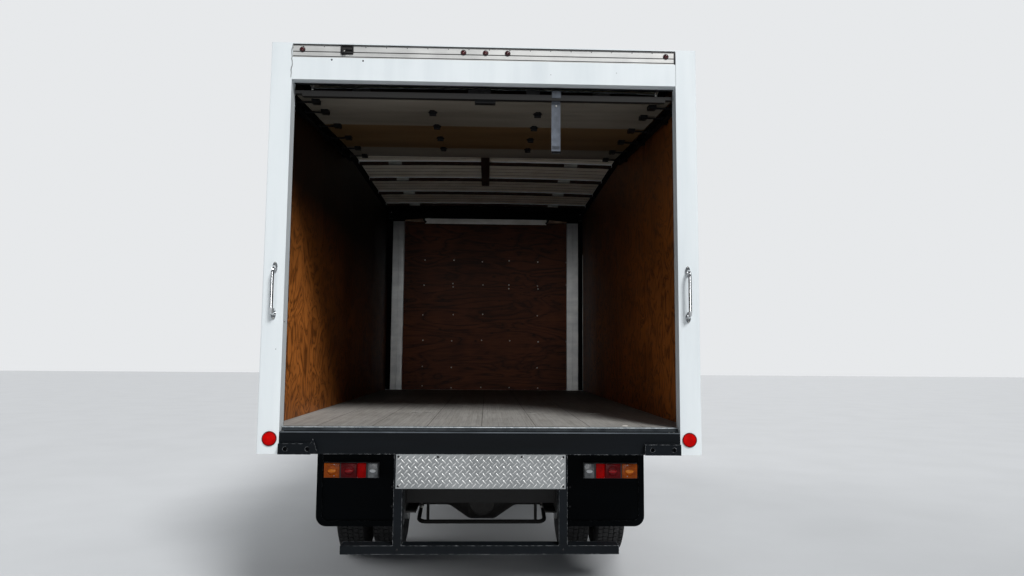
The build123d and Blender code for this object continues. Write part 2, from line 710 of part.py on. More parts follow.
def side_wall():
    """Right-hand wall with its bottom rail and rounded top rail."""
    top = BOX_TOP_Z - ROOF_CROWN
    profile = outline(
        [
            (HALF_INSIDE, SIDE_SKIRT_Z),
            (HALF_BOX, SIDE_SKIRT_Z),
            (HALF_BOX, top),
            (HALF_INSIDE - 30, top),
            (HALF_INSIDE - 30, top - 8),
            (HALF_INSIDE, top - 50),
        ],
        [0, 0, 30, 0, 0, 0],
    )
    return along_y(profile, FRAME_FRONT_Y, BOX_FRONT_Y - FRONT_WALL)


def front_wall():
    """Front wall with rounded corner posts."""
    back = BOX_FRONT_Y - FRONT_WALL
    plan = outline(
        [(-HALF_BOX, back), (-HALF_BOX, BOX_FRONT_Y), (HALF_BOX, BOX_FRONT_Y), (HALF_BOX, back)],
        [0, 45, 45, 0],
    )
    return along_z(plan, SIDE_SKIRT_Z, BOX_TOP_Z - ROOF_CROWN)


def crown_face(z_low_side, z_low_middle, z_high_side, z_high_middle, half):
    """Crowned strip between two arcs, in the cross plane."""
    edges = [
        ThreePointArc((-half, z_low_side), (0, z_low_middle), (half, z_low_side)),
        Line((half, z_low_side), (half, z_high_side)),
        ThreePointArc((half, z_high_side), (0, z_high_middle), (-half, z_high_side)),
        Line((-half, z_high_side), (-half, z_low_side)),
    ]
    return make_face(Curve() + edges)


def roof():
    """Crowned skin with arched bows under it."""
    side_z = BOX_TOP_Z - ROOF_CROWN
    skin_half = HALF_BOX - 20
    skin_face = crown_face(side_z, BOX_TOP_Z - ROOF_SKIN, side_z + ROOF_SKIN, BOX_TOP_Z, skin_half)
    skin = along_y(skin_face, FRAME_FRONT_Y, BOX_FRONT_Y - 6)
    bow_half = HALF_INSIDE - 31
    under_z = BOX_TOP_Z - ROOF_SKIN
    bow_face = crown_face(side_z - BOW_DEPTH, under_z - BOW_DEPTH, side_z + 2, under_z + 2, bow_half)
    count = int((BOX_LENGTH - FRAME_DEPTH - FRONT_WALL) // BOW_PITCH)
    pieces = [skin]
    for index in range(1, count + 1):
        y = FRAME_FRONT_Y + BOW_PITCH * index
        pieces.append(along_y(bow_face, y - BOW_WIDTH / 2, y + BOW_WIDTH / 2))
    return fused(*pieces)


def rear_posts():
    """White corner posts of the rear frame."""
    post = block(OPENING_HALF, HALF_BOX, REAR_FACE_Y, FRAME_FRONT_Y, FRAME_BOTTOM_Z, BOX_TOP_Z)
    edge = post.edges().filter_by(Axis.Z).sort_by(Axis.X)[-2:]
    return group(both(fillet(edge.sort_by(Axis.Y)[0:1], 8)))


HEADER_RAIL_LOW_Z = BOX_TOP_Z - 86.0
HEADER_RAIL_HIGH_Z = BOX_TOP_Z - 6.0
HEADER_RECESS = 10.0


def rear_header():
    """Header over the door with the recessed lamp rail along its top."""
    y0 = REAR_FACE_Y
    profile = outline(
        [
            (y0, HEADER_BOTTOM_Z),
            (FRAME_FRONT_Y, HEADER_BOTTOM_Z),
            (FRAME_FRONT_Y, BOX_TOP_Z),
            (y0, BOX_TOP_Z),
            (y0, HEADER_RAIL_HIGH_Z),
            (y0 + HEADER_RECESS, HEADER_RAIL_HIGH_Z),
            (y0 + HEADER_RECESS, HEADER_RAIL_LOW_Z),
            (y0, HEADER_RAIL_LOW_Z),
        ]
    )
    return along_x(profile, -OPENING_HALF, OPENING_HALF)


SILL_LEDGE = 45.0


def rear_sill():
    """Steel rear sill with a step up to the deck."""
    y0 = REAR_FACE_Y
    profile = outline(
        [
            (y0, FRAME_BOTTOM_Z),
            (FRAME_FRONT_Y, FRAME_BOTTOM_Z),
            (FRAME_FRONT_Y, FLOOR_Z),
            (y0 + SILL_LEDGE, FLOOR_Z),
            (y0 + SILL_LEDGE, SILL_TOP_Z - 14),
            (y0 + SILL_LEDGE - 16, SILL_TOP_Z - 14),
            (y0 + SILL_LEDGE - 16, SILL_TOP_Z),
            (y0, SILL_TOP_Z),
        ]
    )
    return along_x(profile, -OPENING_HALF, OPENING_HALF)


BULKHEAD_POST = 138.0
BULKHEAD_METAL = 34.0
BULKHEAD_SET_IN = 62.0
BULKHEAD_TOP_Z = BOX_TOP_Z - 145.0


def bulkhead_frame():
    """Aluminium posts and top rail on the inside of the front wall."""
    y1 = BOX_FRONT_Y - FRONT_WALL
    y0 = y1 - BULKHEAD_METAL
    half = HALF_INSIDE - BULKHEAD_SET_IN
    pieces = []
    for side in (-1, 1):
        x1 = side * half
        x0 = side * (half - BULKHEAD_POST)
        pieces.append(block(x0, x1, y0, y1, FLOOR_Z - DECK, BULKHEAD_TOP_Z))
    rail = block(-half, half, y0 - 12, y1, BULKHEAD_TOP_Z, BULKHEAD_TOP_Z + 34)
    return fused(rail, *pieces)


# Roll-up door

TRACK_X = OPENING_HALF + 14.0
TRACK_DEPTH = 30.0
TRACK_CHANNEL = 2 * (ROLLER_R + SEAT_GAP + TRACK_LIP)
TRACK_UPRIGHT_Y = FRAME_FRONT_Y + 8.0
BEND_R = 60.0
ROLLER_DROP = 14.0
ROLLER_PIN_R = 6.0
ROLLER_WIDTH = 18.0
FIRST_ROLLER_RUN = 140.0
HINGE_X = 330.0
HINGE_HALF = 21.0
HINGE_LEAF = 40.0
HINGE_METAL = 3.2
KNUCKLE_R = 11.0
BRACKET_X = DOOR_HALF - 111.0
BRACKET_WIDTH = 44.0
BOTTOM_RAIL_RUN = 46.0
BOTTOM_RAIL_DROP = 14.0
LATCH_HALF = 60.0

# Torsion shaft over the opening, whose cables lift the door
SHAFT_Y = FRAME_FRONT_Y + 78.0
SHAFT_Z = BOX_TOP_Z - 135.0
TORSION_SHAFT_R = 13.0
TORSION_SPRING_R = 34.0
TORSION_SPRING_LENGTH = 520.0
DRUM_X = DOOR_HALF - 86.0
DRUM_R = 45.0
DRUM_HALF = 20.0
CABLE_R = 2.5
CABLE_RUN = 50.0
CABLE_LUG = 8.0


def door_point(run, drop=0.0):
    """Point on the stored door's underside: run along it from its bottom edge."""
    angle = math.radians(DOOR_SLOPE)
    y = DOOR_EDGE_Y + run * math.cos(angle) + drop * math.sin(angle)
    z = DOOR_EDGE_Z + run * math.sin(angle) - drop * math.cos(angle)
    return (y, z)


def door_strip(run0, run1, drop0, drop1, x0, x1):
    """Block that lies along the stored door."""
    face = outline(
        [door_point(run0, drop0), door_point(run1, drop0), door_point(run1, drop1), door_point(run0, drop1)]
    )
    return along_x(face, x0, x1)


def door_joint(index):
    """Run at which a panel starts."""
    return index * (DOOR_PANEL_HEIGHT + DOOR_PANEL_GAP)


def roll_door_panels():
    """Five flat panels stored under the roof, and the bottom rail."""
    panels = []
    for index in range(DOOR_PANELS):
        run = door_joint(index)
        panel = door_strip(run, run + DOOR_PANEL_HEIGHT, -DOOR_PANEL_THICKNESS, 0, -DOOR_HALF, DOOR_HALF)
        panels.append(panel)
    half = DOOR_HALF - 40
    panels[0] = fused(panels[0], door_strip(0, BOTTOM_RAIL_RUN, 0, BOTTOM_RAIL_DROP, -half, half))
    return group(panels)


def door_hinge(run, x):
    """Leaf hinge over a panel joint, with its knuckle."""
    metal = SEAT_GAP + HINGE_METAL
    narrow = HINGE_HALF - 9
    leaf = door_strip(run - HINGE_LEAF, run + HINGE_LEAF, SEAT_GAP, metal, x - narrow, x + narrow)
    collar = door_strip(run - narrow, run + narrow, SEAT_GAP, metal + 8, x - HINGE_HALF, x + HINGE_HALF)
    y, z = door_point(run, metal + KNUCKLE_R)
    return fused(leaf, collar, rod((x - HINGE_HALF, y, z), (x + HINGE_HALF, y, z), KNUCKLE_R))


def edge_roller(run):
    """Right edge roller on its pin and bracket."""
    y, z = door_point(run, ROLLER_DROP)
    wheel_x = TRACK_X + 4
    pin = rod((BRACKET_X, y, z), (wheel_x, y, z), ROLLER_PIN_R)
    wheel = rod((wheel_x, y, z), (wheel_x + ROLLER_WIDTH, y, z), ROLLER_R)
    bracket = door_strip(run - 30, run + 30, SEAT_GAP, 24, BRACKET_X, BRACKET_X + BRACKET_WIDTH)
    return fused(pin, wheel, bracket)


def roll_door_hardware():
    """Hinges across the panel joints, edge rollers, cable lugs and the latch."""
    pieces = []
    for index in range(1, DOOR_PANELS):
        run = door_joint(index) - DOOR_PANEL_GAP / 2
        pieces += both(door_hinge(run, HINGE_X))
    last_run = door_joint(DOOR_PANELS) - 60
    for index in range(DOOR_PANELS + 1):
        run = min(max(door_joint(index) - DOOR_PANEL_GAP / 2, FIRST_ROLLER_RUN), last_run)
        pieces += both(edge_roller(run))
    outer = -DOOR_PANEL_THICKNESS - SEAT_GAP
    low_run = CABLE_RUN - 14
    lug = door_strip(low_run, low_run + 28, outer - CABLE_LUG, outer, DRUM_X - 14, DRUM_X + 14)
    pieces += both(lug)
    drop = BOTTOM_RAIL_DROP + SEAT_GAP
    pieces.append(door_strip(10, BOTTOM_RAIL_RUN + 14, drop, drop + 20, -LATCH_HALF, LATCH_HALF))
    return group(pieces)


def track_bend():
    """Middle of the track's bend, and the run at which the stored track leaves it."""
    slope = math.radians(DOOR_SLOPE)
    y = TRACK_UPRIGHT_Y + TRACK_CHANNEL / 2 + BEND_R
    leave_y = y - BEND_R * math.sin(slope)
    run = (leave_y - DOOR_EDGE_Y - ROLLER_DROP * math.sin(slope)) / math.cos(slope)
    z = door_point(run, ROLLER_DROP)[1] - BEND_R * math.cos(slope)
    return (y, z, run)


def bend_ring(inner_r, outer_r, x0, x1):
    """Part of a ring about the bend's middle, from the upright track to the stored one."""
    y, z, _ = track_bend()
    last = 90 + DOOR_SLOPE

    def at(radius, degrees):
        """Point of the ring."""
        angle = math.radians(degrees)
        return (y + radius * math.cos(angle), z + radius * math.sin(angle))

    half_way = (180 + last) / 2
    edges = [
        ThreePointArc(at(outer_r, 180), at(outer_r, half_way), at(outer_r, last)),
        Line(at(outer_r, last), at(inner_r, last)),
        ThreePointArc(at(inner_r, last), at(inner_r, half_way), at(inner_r, 180)),
        Line(at(inner_r, 180), at(outer_r, 180)),
    ]
    return along_x(make_face(Curve() + edges), x0, x1)


def door_track():
    """Right track: an upright channel, a round bend and the stored channel, on tabs from the wall."""
    x0 = TRACK_X
    x1 = TRACK_X + TRACK_DEPTH
    web_x = x1 - TRACK_LIP
    _, bend_z, run = track_bend()
    end = door_joint(DOOR_PANELS) + 30
    room = ROLLER_R + SEAT_GAP
    low = ROLLER_DROP + room
    high = ROLLER_DROP - room
    pieces = [
        door_strip(run, end, low, low + TRACK_LIP, x0, x1),
        door_strip(run, end, high - TRACK_LIP, high, x0, x1),
        door_strip(run, end, high - TRACK_LIP, low + TRACK_LIP, web_x, x1),
        bend_ring(BEND_R + room, BEND_R + room + TRACK_LIP, x0, x1),
        bend_ring(BEND_R - room - TRACK_LIP, BEND_R - room, x0, x1),
        bend_ring(BEND_R - room - TRACK_LIP, BEND_R + room + TRACK_LIP, web_x, x1),
    ]
    y0 = TRACK_UPRIGHT_Y
    y1 = TRACK_UPRIGHT_Y + TRACK_CHANNEL
    foot_z = FLOOR_Z - DECK
    pieces.append(block(web_x, x1, y0, y1, foot_z, bend_z))
    pieces.append(block(x0, x1, y0, y0 + TRACK_LIP, foot_z, bend_z))
    pieces.append(block(x0, x1, y1 - TRACK_LIP, y1, foot_z, bend_z))
    for height in (300.0, 1000.0, 1600.0):
        tab_z = FLOOR_Z + height
        pieces.append(block(x1, HALF_INSIDE, y0 + 5, y0 + 45, tab_z, tab_z + 40))
    for tab_run in (450.0, 1150.0, 1850.0):
        pieces.append(door_strip(tab_run, tab_run + 40, -6, 30, x1, HALF_INSIDE))
    return fused(*pieces)


def counterbalance():
    """Torsion shaft on three plates behind the header, with its springs, drums and cables."""

    def on_shaft(x0, x1, radius):
        """Round part of the shaft between two places across the truck."""
        return rod((x0, SHAFT_Y, SHAFT_Z), (x1, SHAFT_Y, SHAFT_Z), radius)

    half = DRUM_X + 72
    pieces = [on_shaft(-half, half, TORSION_SHAFT_R)]
    for x in (12 - half, 0, half - 12):
        pieces.append(block(x - 3, x + 3, FRAME_FRONT_Y, SHAFT_Y + 24, SHAFT_Z - 40, SHAFT_Z + 40))
        pieces.append(block(x - 30, x + 30, FRAME_FRONT_Y, FRAME_FRONT_Y + 4, SHAFT_Z - 50, SHAFT_Z + 50))
    outer = -DOOR_PANEL_THICKNESS - SEAT_GAP - CABLE_LUG - SEAT_GAP
    end_y, end_z = door_point(CABLE_RUN, outer - CABLE_R * math.tan(math.radians(DOOR_SLOPE)) - 0.5)
    for side in (-1, 1):
        spring_x = side * 24
        far_x = side * (24 + TORSION_SPRING_LENGTH)
        pieces.append(on_shaft(spring_x, far_x, TORSION_SPRING_R))
        for x in (spring_x, far_x - side * 24):
            pieces.append(on_shaft(x, x + side * 24, TORSION_SPRING_R + 7))
        x = side * DRUM_X
        pieces.append(on_shaft(x - DRUM_HALF, x + DRUM_HALF, DRUM_R))
        for rim_x in (x - DRUM_HALF, x + DRUM_HALF - 4):
            pieces.append(on_shaft(rim_x, rim_x + 4, DRUM_R + 6))
        pieces.append(rod((x, SHAFT_Y - DRUM_R + 1, SHAFT_Z), (x, end_y, end_z), CABLE_R))
    return fused(*pieces)


def roll_door_tracks():
    """Both roller tracks, and the counterbalance over the opening."""
    return group([*both(door_track()), counterbalance()])


STRAP_X = 412.0
STRAP_WIDTH = 52.0
STRAP_LENGTH = 310.0
STRAP_THICKNESS = 3.0


def pull_strap():
    """Webbing pull that hangs from the bottom rail."""
    y, z = door_point(16, BOTTOM_RAIL_DROP + SEAT_GAP)
    x0 = STRAP_X - STRAP_WIDTH / 2
    return block(x0, x0 + STRAP_WIDTH, y, y + STRAP_THICKNESS, z - STRAP_LENGTH, z)


# Fittings on the rear frame

HANDLE_X = HALF_BOX - 67.0
HANDLE_LOW_Z = FLOOR_Z + 600.0
HANDLE_HIGH_Z = HANDLE_LOW_Z + 290.0
HANDLE_R = 9.0


def grab_handles():
    """Bow handles on oval feet."""
    y1 = REAR_FACE_Y
    low = HANDLE_LOW_Z + 16
    high = HANDLE_HIGH_Z - 16
    path = FilletPolyline(
        (HANDLE_X, y1 - 4, low),
        (HANDLE_X, y1 - HANDLE_BOW + HANDLE_R, low),
        (HANDLE_X, y1 - HANDLE_BOW + HANDLE_R, high),
        (HANDLE_X, y1 - 4, high),
        radius=30,
    )
    start = Plane(origin=path @ 0, z_dir=path % 0)
    bow = sweep(start * Circle(HANDLE_R), path=path)
    feet = []
    for z in (low, high):
        face = Plane(origin=(HANDLE_X, y1, z), x_dir=(1, 0, 0), z_dir=(0, -1, 0))
        feet.append(extrude(face * Ellipse(14, 30), amount=6))
    handle = fused(bow, *feet)
    return group(both(handle))


BRACKET_LENGTH = 198.0
BRACKET_OUTER_X = OPENING_HALF - 6.0
BRACKET_INNER_X = BRACKET_OUTER_X - BRACKET_LENGTH
BRACKET_LOW_Z = FRAME_BOTTOM_Z + 2.0
BRACKET_HIGH_Z = BRACKET_LOW_Z + 58.0
BRACKET_HOLE_Z = BRACKET_LOW_Z + 29.0
BRACKET_HOLE_X = [BRACKET_INNER_X + 40.0, BRACKET_OUTER_X - 39.0]
BRACKET_HOLE_R = 12.0
BRACKET_METAL = 10.0
BRACKET_REACH = 40.0


def dock_brackets():
    """Dock bumper brackets on the sill; the left one is bent up at its inner end."""
    y1 = REAR_FACE_Y
    y0 = y1 - BRACKET_REACH

    def angle_piece(x0, x1):
        """Plate with a flange along its top, standing off the sill."""
        face = block(x0, x1, y0, y0 + BRACKET_METAL, BRACKET_LOW_Z, BRACKET_HIGH_Z)
        flange = block(x0, x1, y0, y1, BRACKET_HIGH_Z - BRACKET_METAL, BRACKET_HIGH_Z)
        return fused(face, flange)

    holes = []
    for x in BRACKET_HOLE_X:
        near = (x, y0 - 1, BRACKET_HOLE_Z)
        far = (x, y0 + BRACKET_METAL + 1, BRACKET_HOLE_Z)
        holes.append(rod(near, far, BRACKET_HOLE_R))
    right = angle_piece(BRACKET_INNER_X, BRACKET_OUTER_X)
    left = angle_piece(-BRACKET_OUTER_X, -BRACKET_INNER_X - 22)
    bent = along_y(
        outline(
            [
                (-BRACKET_INNER_X - 22, BRACKET_LOW_Z + 4),
                (-BRACKET_INNER_X + 12, BRACKET_LOW_Z + 16),
                (-BRACKET_INNER_X - 12, BRACKET_HIGH_Z + 24),
                (-BRACKET_INNER_X - 22, BRACKET_HIGH_Z),
            ]
        ),
        y0,
        y0 + BRACKET_METAL,
    )
    left = fused(left, bent)
    for hole in holes:
        right = right - hole
        left = left - other_side(hole)
    return group(right, left)


TREAD_HALF = HALF_FRAME + 38.0
TREAD_LOW_Z = FRAME_BOTTOM_Z - 184.0


def tread_plate():
    """Chequered step plate under the sill."""
    plate = block(-TREAD_HALF, TREAD_HALF, REAR_FACE_Y, REAR_FACE_Y + 5, TREAD_LOW_Z, FRAME_BOTTOM_Z)
    foot_half = GUARD_POST_X - GUARD_POST_WIDTH / 2 - SEAT_GAP
    foot = block(-foot_half, foot_half, REAR_FACE_Y, REAR_FACE_Y + 60, TREAD_LOW_Z, TREAD_LOW_Z + 5)
    return fused(plate, foot)


GUARD_HALF = 755.0
GUARD_LOW_Z = 392.0
GUARD_HIGH_Z = 438.0
GUARD_DEPTH = 95.0
GUARD_POST_X = HALF_FRAME + 25.0
GUARD_POST_WIDTH = 47.0


def underrun_guard():
    """Underrun bar on two posts that are welded below the rear crossmember."""
    y0 = REAR_FACE_Y + 6
    bar = block(-GUARD_HALF, GUARD_HALF, y0, y0 + GUARD_DEPTH, GUARD_LOW_Z, GUARD_HIGH_Z)
    pieces = [bar]
    for side in (-1, 1):
        x0 = side * (GUARD_POST_X - GUARD_POST_WIDTH / 2)
        x1 = side * (GUARD_POST_X + GUARD_POST_WIDTH / 2)
        pieces.append(block(x0, x1, y0, y0 + 90, GUARD_HIGH_Z, FRAME_BOTTOM_Z))
        gusset_y = RAIL_REAR_Y + 160
        low_z = RAIL_BOTTOM_Z + 20
        pieces.append(block(side * HALF_FRAME, x1, RAIL_REAR_Y - 20, gusset_y, low_z, RAIL_TOP_Z - 20))
    return fused(*pieces)


LAMP_PANEL_Y = REAR_FACE_Y + 660.0
LAMP_PANEL_WIDTH = 492.0
LAMP_PANEL_OUTER_X = HALF_BOX - 189.0
LAMP_PANEL_INNER_X = LAMP_PANEL_OUTER_X - LAMP_PANEL_WIDTH
LAMP_PANEL_TOP_Z = FLOOR_Z - DECK - CROSS_SILL
LAMP_PANEL_LOW_Z = 398.0
LAMP_PANEL_METAL = 6.0
LAMP_PANEL_LIP = 34.0


def lamp_panels():
    """Black mud panels that carry the tail lamps, with a raised lip."""
    y1 = LAMP_PANEL_Y
    top = LAMP_PANEL_TOP_Z
    points = [
        (LAMP_PANEL_INNER_X, LAMP_PANEL_LOW_Z),
        (LAMP_PANEL_OUTER_X, LAMP_PANEL_LOW_Z),
        (LAMP_PANEL_OUTER_X, top),
        (LAMP_PANEL_INNER_X, top),
    ]
    sheet = along_y(outline(points, [0, 65, 0, 0]), y1, y1 + LAMP_PANEL_METAL)
    inner = [
        (LAMP_PANEL_INNER_X - 1, LAMP_PANEL_LOW_Z + LAMP_PANEL_LIP),
        (LAMP_PANEL_OUTER_X - LAMP_PANEL_LIP, LAMP_PANEL_LOW_Z + LAMP_PANEL_LIP),
        (LAMP_PANEL_OUTER_X - LAMP_PANEL_LIP, top + 1),
        (LAMP_PANEL_INNER_X - 1, top + 1),
    ]
    rim = along_y(outline(points, [0, 65, 0, 0]), y1 - 10, y1)
    rim = rim - along_y(outline(inner, [0, 40, 0, 0]), y1 - 11, y1 + 1)
    sill_y = cross_sill_places()[1]
    flange_y = sill_y - CROSS_SILL_FLANGE / 2
    flange = block(LAMP_PANEL_INNER_X, LAMP_PANEL_OUTER_X, flange_y, y1 + 1, top - LAMP_PANEL_METAL, top)
    return group(both(fused(sheet, rim, flange)))


LAMP_HIGH_Z = LAMP_PANEL_TOP_Z - 149.0
LAMP_LOW_Z = LAMP_HIGH_Z - 90.0
LAMP_DEPTH = 34.0
LAMP_TABLE = [
    # name, inner and outer side as distances from the panel's outer edge
    ("clear", 391.0, 325.0),
    ("reflector", 318.0, 257.0),
    ("red", 257.0, 151.0),
    ("amber", 151.0, 47.0),
]
MARKER_R = 15.0
MARKER_Z = BOX_TOP_Z - 38.0
MARKER_OUTER = OPENING_HALF - 54.0
MARKER_PITCH = 127.0
MARKER_X = [-MARKER_OUTER, -MARKER_PITCH, 0.0, MARKER_PITCH, MARKER_OUTER]
REFLECTOR_X = HALF_BOX - 69.0
REFLECTOR_Z = FRAME_BOTTOM_Z + 82.0
REFLECTOR_R = 40.0


def rear_lamps():
    """Tail lamps on the mud panels, marker lamps on the header, round reflectors on the posts."""
    pieces = []
    for _, inner, outer in LAMP_TABLE:
        x0 = LAMP_PANEL_OUTER_X - inner
        x1 = LAMP_PANEL_OUTER_X - outer
        pieces += both(block(x0, x1, LAMP_PANEL_Y - LAMP_DEPTH, LAMP_PANEL_Y, LAMP_LOW_Z, LAMP_HIGH_Z))
    lamps = fused(*pieces[0::2]).solids() + fused(*pieces[1::2]).solids()
    dots = []
    for x in MARKER_X:
        y = REAR_FACE_Y + HEADER_RECESS
        dots.append(rod((x, y, MARKER_Z), (x, y - 14, MARKER_Z), MARKER_R))
    for side in (-1, 1):
        x = side * REFLECTOR_X
        dots.append(rod((x, REAR_FACE_Y, REFLECTOR_Z), (x, REAR_FACE_Y - 9, REFLECTOR_Z), REFLECTOR_R))
    return group(lamps, dots)


# Cab


def cab_block(inset, floor_z):
    """Cab's outer form, or the same form drawn in by a wall thickness and open below."""
    low_z = floor_z - 2 * inset
    side = outline(
        [
            (CAB_BACK_Y, low_z),
            (CAB_BACK_Y, CAB_TOP_Z),
            (CAB_FRONT_Y - 370, CAB_TOP_Z),
            (CAB_FRONT_Y - 62, BELT_Z - 40),
            (CAB_FRONT_Y, BELT_Z - 240),
            (CAB_FRONT_Y - 8, low_z),
        ],
        [0, 120, 180, 300, 300, 0],
        inset,
    )
    cross = outline(
        [
            (-HALF_CAB + 15, low_z),
            (-HALF_CAB, BELT_Z - 140),
            (-HALF_CAB + 80, CAB_TOP_Z),
            (HALF_CAB - 80, CAB_TOP_Z),
            (HALF_CAB, BELT_Z - 140),
            (HALF_CAB - 15, low_z),
        ],
        [0, 600, 120, 120, 600, 0],
        inset,
    )
    plan = outline(
        [
            (-HALF_CAB, CAB_BACK_Y),
            (-HALF_CAB, CAB_FRONT_Y),
            (HALF_CAB, CAB_FRONT_Y),
            (HALF_CAB, CAB_BACK_Y),
        ],
        [60, 220, 220, 60],
        inset,
    )
    solid = along_y(cross, CAB_BACK_Y - 10, CAB_FRONT_Y + 10)
    solid = solid & along_z(plan, low_z - 10, CAB_TOP_Z + 10)
    solid = solid & along_x(side, -HALF_CAB - 10, HALF_CAB + 10)
    return solid


DOOR_TOP_Z = ROOF_SPLIT_Z - 22.0
DOOR_SILL_Z = CAB_UNDER_Z - 60.0


def door_face(gap=0.0):
    """Side outline of a cab door, lower ahead of the wheel arch."""
    return outline(
        [
            (DOOR_REAR_Y, CAB_FLOOR_Z + 5),
            (DOOR_REAR_Y, DOOR_TOP_Z),
            (CAB_FRONT_Y - 470, DOOR_TOP_Z),
            (DOOR_FRONT_Y, BELT_Z + 30),
            (DOOR_FRONT_Y, DOOR_SILL_Z),
            (ARCH_FRONT_Y + 25, DOOR_SILL_Z),
            (ARCH_FRONT_Y - 45, CAB_FLOOR_Z + 5),
        ],
        [50, 60, 90, 120, 40, 30, 60],
        -gap,
    )


def door_window_face(gap=0.0):
    """Side outline of a door window."""
    return outline(
        [
            (DOOR_REAR_Y + 75, BELT_Z),
            (DOOR_REAR_Y + 75, DOOR_TOP_Z - 68),
            (CAB_FRONT_Y - 512, DOOR_TOP_Z - 68),
            (DOOR_FRONT_Y - 92, BELT_Z),
        ],
        45,
        gap,
    )


def windscreen_face(gap=0.0):
    """Front outline of the windscreen."""
    low_half = HALF_CAB - 150
    high_half = HALF_CAB - 200
    low_z = BELT_Z + 5
    high_z = ROOF_SPLIT_Z - 45
    points = [(-low_half, low_z), (-high_half, high_z), (high_half, high_z), (low_half, low_z)]
    return outline(points, 90, gap)


def back_window_face(gap=0.0):
    """Outline of the cab's back window."""
    half = HALF_CAB - 520
    low_z = BELT_Z + 30
    high_z = CAB_TOP_Z - 340
    return outline([(-half, low_z), (-half, high_z), (half, high_z), (half, low_z)], 60, gap)


OUTER = cab_block(0, APRON_Z)
INNER = cab_block(CAB_WALL, APRON_Z)
FAR = 4000.0

HEADLAMP_LOW_Z = CAB_UNDER_Z - 30.0
HEADLAMP_HIGH_Z = HEADLAMP_LOW_Z + 155.0
HEADLAMP_OUTER_X = HALF_CAB - 120.0
HEADLAMP_INNER_X = HEADLAMP_OUTER_X - 320.0
HEADLAMP_DEPTH = 40.0
GRILLE_LOW_Z = HEADLAMP_HIGH_Z + 25.0
GRILLE_HIGH_Z = GRILLE_LOW_Z + 170.0
GRILLE_HALF = HEADLAMP_INNER_X
GRILLE_DEPTH = 26.0


def headlamp_block(gap=0.0):
    """Room of the right headlamp in the front panel."""
    return block(
        HEADLAMP_INNER_X + gap,
        HEADLAMP_OUTER_X - gap,
        CAB_FRONT_Y - HEADLAMP_DEPTH + gap,
        FAR,
        HEADLAMP_LOW_Z + gap,
        HEADLAMP_HIGH_Z - gap,
    )


def cab_shell():
    """Hollow cab with its door, windscreen and back window openings cut."""
    over_floor = INNER & block(-FAR, FAR, -FAR, FAR, CAB_FLOOR_Z, FAR)
    under_floor = INNER & block(-FAR, FAR, ARCH_FRONT_Y + 40, FAR, 0, CAB_UNDER_Z)
    shell = OUTER - over_floor - under_floor
    shell = shell - block(-FAR, FAR, 0, ARCH_FRONT_Y, 0, CAB_UNDER_Z)
    under_open = block(-HALF_CAB + CAB_WALL, HALF_CAB - CAB_WALL, 0, ARCH_FRONT_Y + 41, 0, CAB_UNDER_Z)
    shell = shell - under_open
    aperture = along_x(door_face(PANEL_GAP), HALF_CAB - CAB_WALL - DOOR_REBATE, FAR)
    shell = shell - aperture - other_side(aperture)
    shell = shell - along_y(windscreen_face(), FRONT_AXLE_Y + 200, FAR)
    shell = shell - along_y(back_window_face(), 0, CAB_BACK_Y + 200)
    grille_cut = block(
        -GRILLE_HALF, GRILLE_HALF, CAB_FRONT_Y - GRILLE_DEPTH, FAR, GRILLE_LOW_Z, GRILLE_HIGH_Z
    )
    shell = shell - grille_cut
    recess = headlamp_block()
    return shell - recess - other_side(recess)


STEP_Z = CAB_UNDER_Z - 270.0


def cab_floor(shell):
    """Floor plate, front apron and skirts, with the steps and the tilt lugs."""
    base = shell & block(-FAR, FAR, -FAR, FAR, 0, CAB_FLOOR_Z)
    pieces = [base]
    for side in (-1, 1):
        x0 = side * (TILT_LUG_X + 4)
        x1 = side * (TILT_LUG_X + 40)
        arm = block(x0, x1, TILT_Y - 24, TILT_Y + 24, TILT_Z, CAB_UNDER_Z)
        nose = rod((x0, TILT_Y, TILT_Z), (x1, TILT_Y, TILT_Z), 24)
        bore = rod((x0 - side, TILT_Y, TILT_Z), (x1 + side, TILT_Y, TILT_Z), TILT_PIN_R + PIN_GAP)
        pieces.append(fused(arm, nose) - bore)
        step_x0 = side * (HALF_CAB - 210)
        step_x1 = side * (HALF_CAB - 22)
        hanger_x1 = side * (HALF_CAB - CAB_WALL - DOOR_REBATE)
        y0 = ARCH_FRONT_Y + 40
        y1 = TILT_Y - 60
        tread = block(step_x0, step_x1, y0, y1, STEP_Z - 30, STEP_Z)
        step_parts = [tread]
        for y in (y0, y1 - 12):
            step_parts.append(block(step_x0, hanger_x1, y, y + 12, STEP_Z - 30, CAB_UNDER_Z))
        pieces.append(fused(*step_parts))
    return fused(*pieces)


def cab_back(shell):
    """Back wall and rear quarters, from the floor to the roof seam."""
    return shell & block(-FAR, FAR, -FAR, SIDE_SEAM_Y, CAB_FLOOR_Z, ROOF_SPLIT_Z)


HINGE_BARREL_R = 10.0
HINGE_TABLE = [
    # name, z of the barrel's foot
    ("lower", CAB_FLOOR_Z + 25.0),
    ("upper", BELT_Z - 140.0),
]
HINGE_BARREL = 60.0


